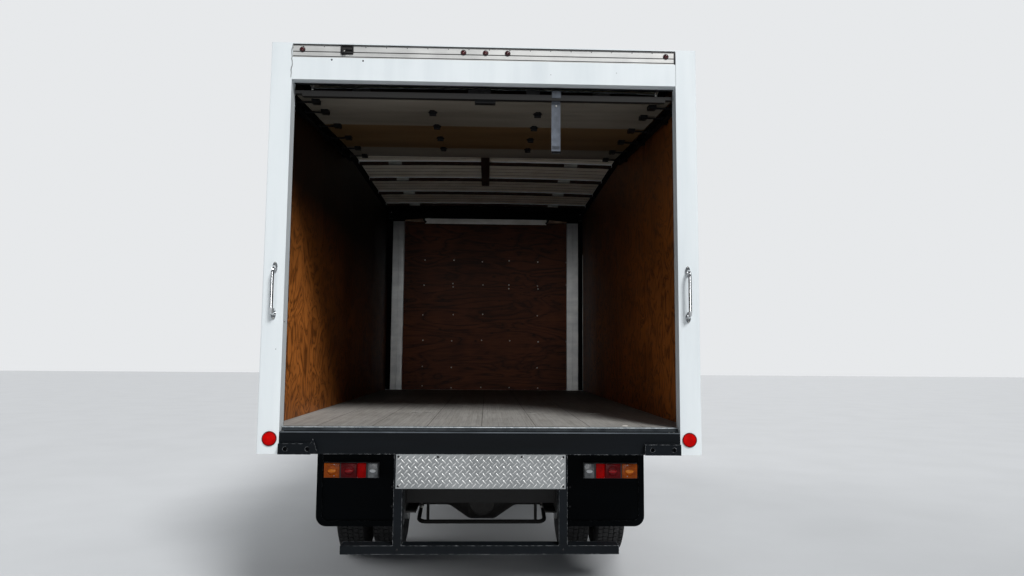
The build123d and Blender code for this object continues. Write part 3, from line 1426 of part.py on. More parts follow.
def hinge_leaf(z0, z1, forward):
    """Hinge leaf with its barrel; forward ones belong to the cab."""
    outer = DOOR_PIVOT_X - 3
    if forward:
        leaf = block(HALF_CAB - 25, outer, DOOR_PIVOT_Y, DOOR_PIVOT_Y + 34, z0, z1)
    else:
        root = block(HALF_CAB - 25, outer, DOOR_FRONT_Y - 44, DOOR_FRONT_Y - 1, z0, z1)
        leaf = root + block(HALF_CAB + 1, outer, DOOR_FRONT_Y - 2, DOOR_PIVOT_Y, z0, z1)
    barrel = rod((DOOR_PIVOT_X, DOOR_PIVOT_Y, z0), (DOOR_PIVOT_X, DOOR_PIVOT_Y, z1), HINGE_BARREL_R)
    return fused(leaf, barrel)


def cab_front(shell):
    """Front panel, windscreen frame and front pillars."""
    base = shell & block(-FAR, FAR, SIDE_SEAM_Y, FAR, CAB_FLOOR_Z, ROOF_SPLIT_Z)
    pieces = [base]
    for _, z in HINGE_TABLE:
        pieces += both(hinge_leaf(z, z + HINGE_BARREL, True))
    return fused(*pieces)


def cab_roof(shell):
    """Roof panel above the seam."""
    return shell & block(-FAR, FAR, -FAR, FAR, ROOF_SPLIT_Z, FAR)


GLASS_OUT = 14.0
GLASS_IN = 20.0


def glass(face_solid):
    """Curved pane that follows the cab's skin inside one opening."""
    layer = cab_block(GLASS_OUT, APRON_Z) - cab_block(GLASS_IN, APRON_Z)
    return layer & face_solid


def cab_glass():
    """Windscreen and back window."""
    front = glass(along_y(windscreen_face(SEAT_GAP), FRONT_AXLE_Y + 200, FAR))
    back = glass(along_y(back_window_face(SEAT_GAP), 0, CAB_BACK_Y + 200))
    return group(front, back)


def cab_door():
    """Right-hand door with its window frame, pane and hinge halves."""
    skin = (OUTER - INNER) & along_x(door_face(), 0, FAR)
    skin = skin - along_x(door_window_face(), 0, FAR)
    pieces = [skin]
    for _, z in HINGE_TABLE:
        z0 = z + HINGE_BARREL + PIN_GAP
        pieces.append(hinge_leaf(z0, z0 + HINGE_BARREL, False))
    return fused(*pieces)


def door_glass():
    """Pane of the right-hand door."""
    return glass(along_x(door_window_face(SEAT_GAP), 0, FAR))


def grille():
    """Black slatted grille in the front panel."""
    y1 = CAB_FRONT_Y - 4
    y0 = CAB_FRONT_Y - GRILLE_DEPTH + SEAT_GAP
    gap = SEAT_GAP
    half = GRILLE_HALF - gap
    backing = block(-half, half, y0, y0 + 5, GRILLE_LOW_Z + gap, GRILLE_HIGH_Z - gap)
    pieces = [backing]
    count = 4
    pitch = (GRILLE_HIGH_Z - GRILLE_LOW_Z - 2 * gap - 14) / (count - 1)
    for index in range(count):
        z = GRILLE_LOW_Z + gap + pitch * index
        pieces.append(block(-half, half, y0, y1, z, z + 14))
    return fused(*pieces)


def front_lamps():
    """Headlamps let into the front panel."""
    return group(both(OUTER & headlamp_block(SEAT_GAP)))


MIRROR_X = HALF_CAB + 150.0
MIRROR_ARM_LOW_Z = BELT_Z - 70.0
MIRROR_ARM_HIGH_Z = BELT_Z + 490.0
MIRROR_Y = DOOR_PIVOT_Y + 48.0


def mirrors():
    """Door mirrors on tube arms from the front pillars."""
    path = FilletPolyline(
        (HALF_CAB - 60, MIRROR_Y, MIRROR_ARM_LOW_Z),
        (MIRROR_X, MIRROR_Y, MIRROR_ARM_LOW_Z),
        (MIRROR_X, MIRROR_Y, MIRROR_ARM_HIGH_Z),
        (HALF_CAB - 100, MIRROR_Y, MIRROR_ARM_HIGH_Z),
        radius=60,
    )
    start = Plane(origin=path @ 0, z_dir=path % 0)
    arm = sweep(start * Circle(10), path=path)
    head_low = MIRROR_ARM_LOW_Z + 100
    head_high = MIRROR_ARM_HIGH_Z - 100
    head = block(MIRROR_X - 85, MIRROR_X + 85, MIRROR_Y - 25, MIRROR_Y + 25, head_low, head_high)
    head = fillet(head.edges(), 18)
    arm = arm - OUTER
    return group(both(fused(arm, head)))


STEERING_X = DRIVER_X
STEERING_Y = CAB_FRONT_Y - 560.0
STEERING_Z = BELT_Z - 70.0
STEERING_TILT = 38.0
STEERING_WHEEL_R = 215.0
HUB_BELOW = 33.0


def steering_axis():
    """Direction of the steering column, up towards the driver."""
    angle = math.radians(STEERING_TILT)
    return Vector(0, -math.sin(angle), math.cos(angle))


def dashboard():
    """Dashboard across the cab, with the steering column."""
    profile = outline(
        [
            (CAB_FRONT_Y - 330, BELT_Z - 290),
            (CAB_FRONT_Y - CAB_WALL - 60, BELT_Z - 370),
            (CAB_FRONT_Y - CAB_WALL - 60, BELT_Z - 70),
            (CAB_FRONT_Y - 240, BELT_Z - 30),
            (CAB_FRONT_Y - 340, BELT_Z - 90),
        ],
        [30, 0, 0, 40, 40],
    )
    half = HALF_CAB - CAB_WALL - 22
    body = along_x(profile, -half, half)
    wall_y = CAB_FRONT_Y - CAB_WALL
    foot = block(-half, half, wall_y - 110, wall_y - 60, CAB_FLOOR_Z, BELT_Z - 290)
    top = Vector(STEERING_X, STEERING_Y, STEERING_Z) - steering_axis() * (HUB_BELOW + SEAT_GAP)
    low = top - steering_axis() * 560
    near_x = STEERING_X - 60
    bracket = block(near_x, near_x + 120, low.Y - 20, wall_y - 100, low.Z - 20, low.Z + 70)
    column = rod(tuple(low), tuple(top), 34) + bracket
    inside = cab_block(CAB_WALL + 3, APRON_Z)
    return fused(fused(body, foot) & inside, column)


def steering_wheel():
    """Rim, three spokes and hub."""
    centre = Vector(STEERING_X, STEERING_Y, STEERING_Z)
    plane = Plane(origin=centre, x_dir=(1, 0, 0), z_dir=steering_axis())
    rim = plane * Torus(STEERING_WHEEL_R - 14, 14)
    hub = plane * (Pos(0, 0, -14) * Cylinder(55, 38))
    pieces = [rim, hub]
    for angle in (90, 210, 330):
        spoke = Pos(STEERING_WHEEL_R / 2 - 8, 0, -10) * Box(STEERING_WHEEL_R - 24, 34, 14)
        pieces.append(plane * (Rot(0, 0, angle) * spoke))
    return fused(*pieces)


SEAT_BASE_Z = CAB_FLOOR_Z
SEAT_TABLE = [
    # name, middle x, width
    ("driver", DRIVER_X, 520.0),
    ("passengers", HALF_CAB - 570.0, 860.0),
]


def seats():
    """Driver's seat and two-place passenger bench on their boxes."""
    pieces = []
    for _, x, width in SEAT_TABLE:
        x0 = x - width / 2
        x1 = x + width / 2
        y0 = CAB_BACK_Y + CAB_WALL + 60
        box = block(x0 + 20, x1 - 20, y0 + 60, y0 + 560, SEAT_BASE_Z, SEAT_BASE_Z + 230)
        cushion = block(x0, x1, y0 + 40, y0 + 610, SEAT_BASE_Z + 230, SEAT_BASE_Z + 360)
        profile = outline(
            [
                (y0 + 40, SEAT_BASE_Z + 360),
                (y0 + 190, SEAT_BASE_Z + 360),
                (y0 + 110, SEAT_BASE_Z + 960),
                (y0, SEAT_BASE_Z + 960),
            ],
            [0, 0, 50, 50],
        )
        back = along_x(profile, x0, x1)
        pieces.append(fused(box, cushion, back))
    return group(pieces)


# Wheels and steering


def tyre(x):
    """Tyre at a place across the truck, with straight-sided section."""
    shoulder = TYRE_WIDTH / 2 - 14
    widest_r = BEAD_R + (TYRE_R - BEAD_R) * 0.5
    section = outline(
        [
            (x - TYRE_BEAD_HALF, BEAD_R),
            (x - TYRE_WIDTH / 2, widest_r),
            (x - shoulder, TYRE_R),
            (x + shoulder, TYRE_R),
            (x + TYRE_WIDTH / 2, widest_r),
            (x + TYRE_BEAD_HALF, BEAD_R),
        ]
    )
    return section


def spun(section, y):
    """Cross profile (x, radius) turned about an axle line."""
    plane = Plane(origin=(0, y, AXLE_Z), x_dir=(1, 0, 0), z_dir=(0, -1, 0))
    return revolve(plane * section, Axis((0, y, AXLE_Z), (1, 0, 0)))


def rim_section(x, face_side):
    """Rim barrel, flanges and dished disc; face_side points to the mounting face."""
    s = face_side
    r = BEAD_R - SEAT_GAP
    face = x + s * RIM_OFFSET
    t = RIM_METAL
    return outline(
        [
            (x - s * (BEAD_HALF + 4), r + 16),
            (x - s * (BEAD_HALF + 4), r - t),
            (x + s * 30, r - t),
            (x + s * 60, r - 20),
            (face, r - 70),
            (face, 48),
            (face + s * 9, 48),
            (face + s * 9, r - 66),
            (x + s * 70, r - 14),
            (x + s * (BEAD_HALF + 4), r - t),
            (x + s * (BEAD_HALF + 4), r + 16),
            (x + s * BEAD_HALF, r + 16),
            (x + s * BEAD_HALF, r),
            (x - s * BEAD_HALF, r),
            (x - s * BEAD_HALF, r + 16),
        ]
    )


HAND_HOLES = 5
HAND_HOLE_R = 19.0


def rim_with_holes(x, face_side, y):
    """Disc wheel with its ring of hand holes."""
    wheel = spun(rim_section(x, face_side), y)
    for index in range(HAND_HOLES):
        angle = 2 * math.pi * index / HAND_HOLES
        cy = y + 112 * math.cos(angle)
        cz = AXLE_Z + 112 * math.sin(angle)
        near = x + face_side * (RIM_OFFSET - 20)
        far = x + face_side * (RIM_OFFSET + 20)
        wheel = wheel - rod((near, cy, cz), (far, cy, cz), HAND_HOLE_R)
    return wheel


def front_wheel_x():
    """Middle of the right front tyre."""
    return FRONT_TRACK / 2


def front_rim():
    """Right front wheel disc with hub, cap and brake disc."""
    x = front_wheel_x()
    y = FRONT_AXLE_Y
    wheel = rim_with_holes(x, 1, y)
    face = x + RIM_OFFSET
    hub = tube((x - 20, y, AXLE_Z), (face, y, AXLE_Z), 62, SPINDLE_R + PIN_GAP)
    flange = tube((face - 14, y, AXLE_Z), (face, y, AXLE_Z), 100, SPINDLE_R + PIN_GAP)
    cap = rod((face, y, AXLE_Z), (face + 24, y, AXLE_Z), 50)
    disc = tube((x - 20, y, AXLE_Z), (x + 6, y, AXLE_Z), 160, 40)
    return fused(wheel, hub, flange, cap, disc)


def rear_rims():
    """Right rear pair of disc wheels with hub and brake drum."""
    y = REAR_AXLE_Y
    middle = REAR_TRACK / 2
    inner = rim_with_holes(middle - RIM_OFFSET, 1, y)
    outer = rim_with_holes(middle + RIM_OFFSET + 9, -1, y)
    drum = rod((HUB_INNER_X, y, AXLE_Z), (middle, y, AXLE_Z), 165)
    drum = drum - rod((HUB_INNER_X - 1, y, AXLE_Z), (HUB_INNER_X + 12, y, AXLE_Z), AXLE_TUBE_R + 5)
    hub = rod((middle - 4, y, AXLE_Z), (middle + 118, y, AXLE_Z), 62)
    bore = rod((HUB_INNER_X, y, AXLE_Z), (middle + 66, y, AXLE_Z), STUB_R + PIN_GAP)
    return fused(inner, outer, drum, hub) - bore


def rear_tyres():
    """Right rear pair of tyres."""
    middle = REAR_TRACK / 2
    inner = spun(tyre(middle - RIM_OFFSET), REAR_AXLE_Y)
    outer = spun(tyre(middle + RIM_OFFSET + 9), REAR_AXLE_Y)
    return group(inner, outer)


ARM_LENGTH = 165.0
ARM_Z = AXLE_Z - 117.0
TIE_ROD_Z = ARM_Z - 24.0


def knuckle():
    """Right steering knuckle: fork on the kingpin, spindle and steering arm."""
    x = KINGPIN_X
    y = FRONT_AXLE_Y
    reach = EYE_HALF + PIN_GAP
    upper = rod((x, y, AXLE_Z + reach), (x, y, AXLE_Z + reach + 40), 42)
    lower = rod((x, y, ARM_Z), (x, y, AXLE_Z - reach), 42)
    pin = rod((x, y, ARM_Z + 10), (x, y, AXLE_Z + reach + 10), KINGPIN_R)
    plate_x = x + 47
    plate = block(plate_x, plate_x + 12, y - 44, y + 44, ARM_Z + 4, AXLE_Z + reach + 40)
    top_web = block(x, plate_x + 12, y - 40, y + 40, AXLE_Z + reach + 4, AXLE_Z + reach + 40)
    low_web = block(x, plate_x + 12, y - 40, y + 40, ARM_Z + 4, AXLE_Z - reach)
    spindle = rod((plate_x, y, AXLE_Z), (front_wheel_x() + RIM_OFFSET - 10, y, AXLE_Z), SPINDLE_R)
    arm_face = outline([(x - 26, y), (x + 26, y), (x + 20, y - ARM_LENGTH), (x - 20, y - ARM_LENGTH)])
    arm = along_z(arm_face, ARM_Z, ARM_Z + 26)
    arm_end = rod((x, y - ARM_LENGTH, ARM_Z), (x, y - ARM_LENGTH, ARM_Z + 26), 24)
    return fused(upper, lower, pin, plate, top_web, low_web, spindle, arm, arm_end)


def tie_rod():
    """Track rod that lies just under both steering arms."""
    y = FRONT_AXLE_Y - ARM_LENGTH
    half = KINGPIN_X
    z = TIE_ROD_Z
    bar = rod((-half, y, z), (half, y, z), 14)
    pieces = [bar]
    for side in (-1, 1):
        x = side * half
        pieces.append(rod((x, y, z - 20), (x, y, ARM_Z - PIN_GAP), 22))
    return fused(*pieces)


SHELL = cab_shell()
RIGHT_DOOR = cab_door()
RIGHT_GLASS = door_glass()
RIGHT_KNUCKLE = knuckle()
RIGHT_FRONT_TYRE = spun(tyre(front_wheel_x()), FRONT_AXLE_Y)
RIGHT_FRONT_RIM = front_rim()
RIGHT_REAR_TYRES = rear_tyres()
RIGHT_REAR_RIMS = rear_rims()
RIGHT_WALL = side_wall()
RIGHT_RAIL = frame_rail()

NODES = {
    "frame_rail_left": other_side(RIGHT_RAIL),
    "frame_rail_right": RIGHT_RAIL,
    "crossmembers": crossmembers(),
    "front_axle": front_axle(),
    "rear_axle": rear_axle(),
    "leaf_springs": leaf_springs(),
    "stabiliser_and_dampers": stabiliser_and_dampers(),
    "propeller_shaft": propeller_shaft(),
    "engine_block": engine_block(),
    "fuel_tank": fuel_tank(),
    "battery_box": battery_box(),
    "exhaust": exhaust(),
    "front_bumper": front_bumper(),
    "long_sills": long_sills(),
    "cross_sills": cross_sills(),
    "cargo_deck": cargo_deck(),
    "wall_left": other_side(RIGHT_WALL),
    "wall_right": RIGHT_WALL,
    "wall_front": front_wall(),
    "roof": roof(),
    "rear_posts": rear_posts(),
    "rear_header": rear_header(),
    "rear_sill": rear_sill(),
    "bulkhead_frame": bulkhead_frame(),
    "roll_door_panels": roll_door_panels(),
    "roll_door_hardware": roll_door_hardware(),
    "roll_door_tracks": roll_door_tracks(),
    "pull_strap": pull_strap(),
    "grab_handles": grab_handles(),
    "dock_brackets": dock_brackets(),
    "tread_plate": tread_plate(),
    "underrun_guard": underrun_guard(),
    "lamp_panels": lamp_panels(),
    "rear_lamps": rear_lamps(),
    "cab_floor": cab_floor(SHELL),
    "cab_back": cab_back(SHELL),
    "cab_front": cab_front(SHELL),
    "cab_roof": cab_roof(SHELL),
    "cab_glass": cab_glass(),
    "cab_grille": grille(),
    "front_lamps": front_lamps(),
    "mirrors": mirrors(),
    "dashboard": dashboard(),
    "seats": seats(),
    "steering_wheel": steering_wheel(),
    "door_left": other_side(RIGHT_DOOR),
    "door_right": RIGHT_DOOR,
    "door_glass_left": other_side(RIGHT_GLASS),
    "door_glass_right": RIGHT_GLASS,
    "knuckle_left": other_side(RIGHT_KNUCKLE),
    "knuckle_right": RIGHT_KNUCKLE,
    "tie_rod": tie_rod(),
    "tyre_front_left": other_side(RIGHT_FRONT_TYRE),
    "tyre_front_right": RIGHT_FRONT_TYRE,
    "rim_front_left": other_side(RIGHT_FRONT_RIM),
    "rim_front_right": RIGHT_FRONT_RIM,
    "tyres_rear_left": other_side(RIGHT_REAR_TYRES),
    "tyres_rear_right": RIGHT_REAR_TYRES,
    "rims_rear_left": other_side(RIGHT_REAR_RIMS),
    "rims_rear_right": RIGHT_REAR_RIMS,
}

os.makedirs("parts", exist_ok=True)
for node, shape in NODES.items():
    export_step(shape, f"parts/{node}.step")
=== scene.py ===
"""Looks of the box truck: finishes, fittings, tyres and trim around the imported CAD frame."""

import logging
import math
import random
from dataclasses import dataclass
from enum import Enum
from typing import Any, Iterable, Optional, Sequence, Union

import bmesh
import bpy
from mathutils import Matrix, Vector
from mathutils.bvhtree import BVHTree


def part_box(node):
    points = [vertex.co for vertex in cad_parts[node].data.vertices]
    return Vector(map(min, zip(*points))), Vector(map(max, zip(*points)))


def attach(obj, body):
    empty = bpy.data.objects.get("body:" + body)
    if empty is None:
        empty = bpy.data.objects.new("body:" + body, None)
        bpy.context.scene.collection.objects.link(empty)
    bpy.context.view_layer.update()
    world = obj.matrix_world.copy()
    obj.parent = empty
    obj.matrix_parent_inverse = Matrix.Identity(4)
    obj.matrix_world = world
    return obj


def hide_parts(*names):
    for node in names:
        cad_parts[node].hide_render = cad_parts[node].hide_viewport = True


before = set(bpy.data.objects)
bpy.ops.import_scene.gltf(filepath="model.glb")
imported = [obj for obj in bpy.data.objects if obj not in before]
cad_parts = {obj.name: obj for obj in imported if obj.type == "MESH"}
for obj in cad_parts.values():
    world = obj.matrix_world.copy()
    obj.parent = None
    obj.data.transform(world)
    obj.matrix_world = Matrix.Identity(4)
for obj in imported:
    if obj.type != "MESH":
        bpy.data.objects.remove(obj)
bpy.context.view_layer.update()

LOG = logging.getLogger("box_truck")
MM = 0.001
Point = Sequence[float]
Flat = Sequence[tuple[float, float]]
Mesh = bmesh.types.BMesh
Value = Union[bpy.types.NodeSocket, float, str, Point]

# Places that the CAD source gives, in millimetres
REAR_Y = -3313.0
FRAME_Y = -3228.0
BOX_FRONT_Y = 1564.0
INSIDE_Y = 1514.0
HALF_BOX = 1219.0
HALF_INSIDE = 1181.0
OPENING_HALF = 1099.0
FLOOR_Z = 1068.0
BOX_TOP_Z = 3235.0
AXLE_Z = 385.0
REAR_AXLE_Y = -1573.0
FRONT_AXLE_Y = 2237.0

# Directions
BACK, AHEAD, UP, DOWN = (0, -1, 0), (0, 1, 0), (0, 0, 1), (0, 0, -1)


class Grain(Enum):
    """Way that a grain, a brushing or a weave runs, and axis that an outline is pushed along."""

    ACROSS = 0
    ALONG = 1
    UPRIGHT = 2


def to_linear(code: str) -> tuple[float, float, float, float]:
    """Turns an sRGB hex colour to Blender's linear one.

    Args:
        code: six hex digits.
    Returns:
        Red, green, blue and a full alpha.
    """
    parts = [int(code[i : i + 2], 16) / 255 for i in (0, 2, 4)]
    flat = [p / 12.92 if p <= 0.04045 else ((p + 0.055) / 1.055) ** 2.4 for p in parts]
    return (*flat, 1.0)


class Graph:
    """Nodes of a material or world, joined by short calls."""

    def __init__(self, tree: bpy.types.NodeTree, grain: Grain = Grain.UPRIGHT) -> None:
        """Empties the tree.

        Args:
            tree: the material's or world's node tree.
            grain: the way the finish's pattern runs.
        """
        tree.nodes.clear()
        self.tree, self.grain = tree, grain
        self.shader: Optional[bpy.types.Node] = None
        self.where: Optional[bpy.types.NodeSocket] = None

    def feed(self, socket: bpy.types.NodeSocket, value: Value) -> None:
        """Links or sets an input.

        Args:
            socket: the input.
            value: a socket, a number, a vector or a hex colour.
        """
        if isinstance(value, bpy.types.NodeSocket):
            self.tree.links.new(value, socket)
        else:
            socket.default_value = to_linear(value) if isinstance(value, str) else value

    def add(self, kind: str, inputs: Optional[dict] = None, **settings: Any) -> bpy.types.Node:
        """Adds a node.

        Args:
            kind: the node's type without its ShaderNode prefix.
            inputs: what its inputs get, by name or number.
            settings: its own properties.
        Returns:
            The new node.
        """
        node = self.tree.nodes.new("ShaderNode" + kind)
        for key, value in settings.items():
            setattr(node, key, value)
        for key, value in (inputs or {}).items():
            self.feed(node.inputs[key], value)
        return node

    def show(self, name: str, value: Value) -> None:
        """Feeds one of the shader's inputs."""
        self.feed(self.shader.inputs[name], value)

    def along(self, ratio: float) -> bpy.types.NodeSocket:
        """Coordinates pressed together along the grain.

        Args:
            ratio: how much longer than wide the pattern becomes.
        Returns:
            The new coordinates.
        """
        scale = [1.0, 1.0, 1.0]
        scale[self.grain.value] = 1.0 / ratio
        return self.add("Mapping", {"Scale": scale, "Vector": self.where}).outputs[0]

    def axis(self, name: str) -> bpy.types.NodeSocket:
        """One of the object coordinates."""
        return self.add("SeparateXYZ", {0: self.where}).outputs[name]

    def noise(
        self, size_mm: float, detail: float, where: Optional[bpy.types.NodeSocket] = None, **more: float
    ) -> bpy.types.NodeSocket:
        """Clouds.

        Args:
            size_mm: size of the largest.
            detail: how many times they get finer.
            where: coordinates, the object's if they aren't given.
            more: the node's other inputs.
        Returns:
            Their value.
        """
        place = self.where if where is None else where
        inputs = {"Scale": 1000 / size_mm, "Detail": detail, "Vector": place, **more}
        return self.add("TexNoise", inputs).outputs[0]

    def math(self, operation: str, *values: Value) -> bpy.types.NodeSocket:
        """A sum of sockets and numbers."""
        return self.add("Math", dict(enumerate(values)), operation=operation).outputs[0]

    def span(
        self, value: Value, start: float, end: float, low: float = 0.0, high: float = 1.0
    ) -> bpy.types.NodeSocket:
        """Turns one range of values to another and keeps within it.

        Args:
            value: the value.
            start: value that gives low.
            end: value that gives high.
            low: first result.
            high: last result.
        Returns:
            The result.
        """
        ranges = {"From Min": start, "From Max": end, "To Min": low, "To Max": high}
        return self.add("MapRange", {**ranges, "Value": value}).outputs[0]

    def ramp(self, value: Value, low: tuple[float, str], high: tuple[float, str]) -> bpy.types.NodeSocket:
        """Fades from one colour to another.

        Args:
            value: the value that decides.
            low: value and hex colour of the first end.
            high: value and hex colour of the other end.
        Returns:
            The colour.
        """
        node = self.add("ValToRGB", {0: value})
        for stop, (place, code) in zip(node.color_ramp.elements, (low, high)):
            stop.position, stop.color = place, to_linear(code)
        return node.outputs[0]

    def mix(self, share: Value, first: Value, second: Value) -> bpy.types.NodeSocket:
        """A mix of two colours, with a share of the second."""
        return self.add("Mix", {0: share, 6: first, 7: second}, data_type="RGBA").outputs[2]

    def times(self, colour: Value, share: Value) -> bpy.types.NodeSocket:
        """A colour made darker or lighter by a share."""
        return self.add("VectorMath", {0: colour, "Scale": share}, operation="SCALE").outputs[0]

    def bump(self, height: Value, strength: float, depth_mm: float) -> None:
        """Raises the surface by a pattern, to a depth in millimetres."""
        ridge = self.add("Bump", {"Strength": strength, "Distance": depth_mm * MM, "Height": height})
        self.show("Normal", ridge.outputs[0])


@dataclass(frozen=True)
class Finish:
    """A real surface: its two nearest colours, how rough it is, and the size of its pattern."""

    name: str
    colour: str
    tone: str
    roughness: float
    metallic: float = 0.0
    grain_mm: float = 60.0
    depth_mm: float = 0.2
    grain: Grain = Grain.UPRIGHT
    coat: float = 0.0
    shine: float = 0.5

    def material(self) -> bpy.types.Material:
        """Makes the finish's material once.

        Returns:
            The material.
        """
        known = bpy.data.materials.get(self.name)
        if known:
            return known
        made = bpy.data.materials.new(self.name)
        made.use_nodes = True
        made.diffuse_color = to_linear(self.colour)
        g = Graph(made.node_tree, self.grain)
        g.shader = g.add("BsdfPrincipled", {
            "Base Color": self.colour, "Roughness": self.roughness, "Metallic": self.metallic,
            "Coat Weight": self.coat, "Specular IOR Level": self.shine,
        })
        g.add("OutputMaterial", {"Surface": g.shader.outputs[0]})
        g.where = g.add("TexCoord").outputs["Object"]
        self.dress(g)
        return made

    def dress(self, g: Graph) -> None:
        """Draws a cloud of the two colours over a fine grain."""
        g.show("Base Color", g.ramp(g.noise(self.grain_mm, 4.0), (0.3, self.tone), (0.62, self.colour)))
        g.bump(g.noise(self.grain_mm / 6, 3.0), 0.5, self.depth_mm)


@dataclass(frozen=True)
class Paint(Finish):
    """Sprayed enamel: orange peel, rain streaks, road dirt near the ground, metal on worn edges."""

    dirt: str = "7E7A72"
    dirt_top_mm: float = 1200.0
    dirt_share: float = 0.35
    metal: str = "8A8C8E"
    wear: float = 0.0

    def dress(self, g: Graph) -> None:
        """Draws streaks, dirt, worn edges and orange peel.

        Args:
            g: the material's graph.
        """
        base = g.ramp(g.noise(140, 5.0, g.along(9.0)), (0.28, self.tone), (0.6, self.colour))
        rise = g.span(g.axis("Z"), self.dirt_top_mm * MM, 0.3, 0.0, self.dirt_share)
        blot = g.noise(90, 6.0, Roughness=0.7)
        colour = g.mix(g.math("MULTIPLY", rise, blot), base, self.dirt)
        if self.wear:
            rounded = g.add("Bevel", {"Radius": 0.004}, samples=4).outputs[0]
            true = g.add("NewGeometry").outputs["Normal"]
            turn = g.add("VectorMath", {0: rounded, 1: true}, operation="DOT_PRODUCT").outputs["Value"]
            bare = g.span(g.noise(18, 6.0), 0.62 - self.wear * 0.3, 0.66)
            colour = g.mix(g.math("MULTIPLY", g.span(turn, 0.985, 0.9), bare), colour, self.metal)
        g.show("Base Color", colour)
        g.show("Roughness", g.span(blot, 0.0, 1.0, self.roughness - 0.06, self.roughness + 0.14))
        g.bump(g.noise(self.grain_mm, 2.0), 0.35, self.depth_mm)


@dataclass(frozen=True)
class Metal(Finish):
    """Bare metal: brushed or drawn lines along the grain, or the crystals of hot-dip zinc."""

    spangle: bool = False
    stretch: float = 30.0
    top_shade: float = 1.0

    def dress(self, g: Graph) -> None:
        """Draws drawn lines or zinc crystals, a cloud of tarnish, and painted shade near the roof.

        Args:
            g: the material's graph.
        """
        if self.spangle:
            cells = g.add("TexVoronoi", {"Scale": 1000 / self.grain_mm, "Vector": g.where})
            pattern = g.add("SeparateColor", {0: cells.outputs["Color"]}).outputs[0]
        else:
            pattern = g.noise(self.grain_mm, 4.0, g.along(self.stretch))
        cloud = g.noise(160, 5.0)
        both = g.math("MULTIPLY_ADD", pattern, 0.5, cloud)
        colour = g.ramp(both, (0.45, self.tone), (0.95, self.colour))
        # Darker towards the roof: painted shade
        if self.top_shade < 1:
            colour = g.times(colour, g.span(g.axis("Z"), 2.3, 3.05, 1.0, self.top_shade))
        g.show("Base Color", colour)
        g.show("Roughness", g.span(cloud, 0.0, 1.0, max(self.roughness - 0.1, 0.03), self.roughness + 0.12))
        g.bump(pattern, 0.3, self.depth_mm)


@dataclass(frozen=True)
class Plywood(Finish):
    """Rotary-cut veneer under varnish: wandering figure, pores, small knots, painted shade towards the roof
    and away from the opening.
    """

    knot: str = "2A140A"
    knot_share: float = 0.5
    figure_mm: float = 260.0
    flame: float = 4.0
    figure_share: float = 0.34
    # Painted shade: share of colour left under the roof, height in metres where that share is reached, share
    # left deep inside
    top_shade: float = 0.35
    shade_full_z: float = 2.9
    front_shade: float = 0.6

    def dress(self, g: Graph) -> None:
        """Draws the flame figure, pores and knots, with painted shade towards the roof and the front.

        Args:
            g: the material's graph.
        """
        bend = g.noise(self.figure_mm, 3.0, g.along(self.flame), Distortion=1.2)
        rings = g.math("PINGPONG", g.math("MULTIPLY", bend, 14.0), 1.0)
        both = g.math("MULTIPLY_ADD", rings, self.figure_share, g.noise(self.grain_mm, 5.0, g.along(22.0)))
        veneer = g.ramp(both, (0.34, self.tone), (0.86, self.colour))
        spots = g.add("TexVoronoi", {"Scale": 1000 / 170, "Randomness": 1.0, "Vector": g.along(1.5)})
        knots = g.span(spots.outputs["Distance"], 0.11, 0.03, 0.0, self.knot_share)
        stain = g.span(g.noise(700, 5.0), 0.3, 0.7, 0.62, 1.1)
        line = g.span(rings, 0.02, 0.24, 0.68, 1.0)
        aged = g.times(g.mix(knots, veneer, self.knot), g.math("MULTIPLY", stain, line))
        ply_roof_shaded = g.times(aged, g.span(g.axis("Z"), 1.7, self.shade_full_z, 1.0, self.top_shade))
        ply_front_shaded = g.times(ply_roof_shaded, g.span(g.axis("Y"), -2.6, -1.1, 1.0, self.front_shade))
        g.show("Base Color", ply_front_shaded)
        g.bump(both, 0.4, self.depth_mm)


@dataclass(frozen=True)
class Boards(Finish):
    """Laminated hardwood floor: narrow strips, joints between the boards, scratches, dust, painted shade away
    from the opening.
    """

    strip_mm: float = 32.0
    board_mm: float = 305.0
    # Painted shade: share of colour left deep inside, away from the opening
    front_shade: float = 0.4
    glue: str = "827E79"
    gap: str = "6B6864"

    def dress(self, g: Graph) -> None:
        """Draws the strips, the board joints, scratches, dirt and painted shade deeper in.

        Args:
            g: the material's graph.
        """
        turned = g.add("Mapping", {"Rotation": (0.0, 0.0, math.pi / 2), "Vector": g.where}).outputs[0]
        strips = g.add("TexBrick", {
            "Scale": 1.0, "Brick Width": 0.9, "Row Height": self.strip_mm * MM, "Mortar Size": 0.0008,
            "Bias": 0.1, "Color1": self.colour, "Color2": self.tone, "Mortar": self.glue, "Vector": turned,
        })
        joints = g.add("TexBrick", {
            "Scale": 1.0, "Brick Width": 9.0, "Row Height": self.board_mm * MM, "Mortar Size": 0.003,
            "Vector": turned,
        })
        fibre = g.noise(9, 6.0, g.along(30.0))
        dust = g.noise(420, 6.0, Roughness=0.65)
        shade = g.span(g.math("ADD", fibre, dust), 0.7, 1.3, 0.72, 1.16)
        deck_painted_shade = g.span(g.axis("Y"), -2.6, 0.4, 1.0, self.front_shade)
        mixed = g.mix(joints.outputs["Fac"], strips.outputs["Color"], self.gap)
        g.show("Base Color", g.times(mixed, g.math("MULTIPLY", shade, deck_painted_shade)))
        g.bump(fibre, 0.4, 0.6)


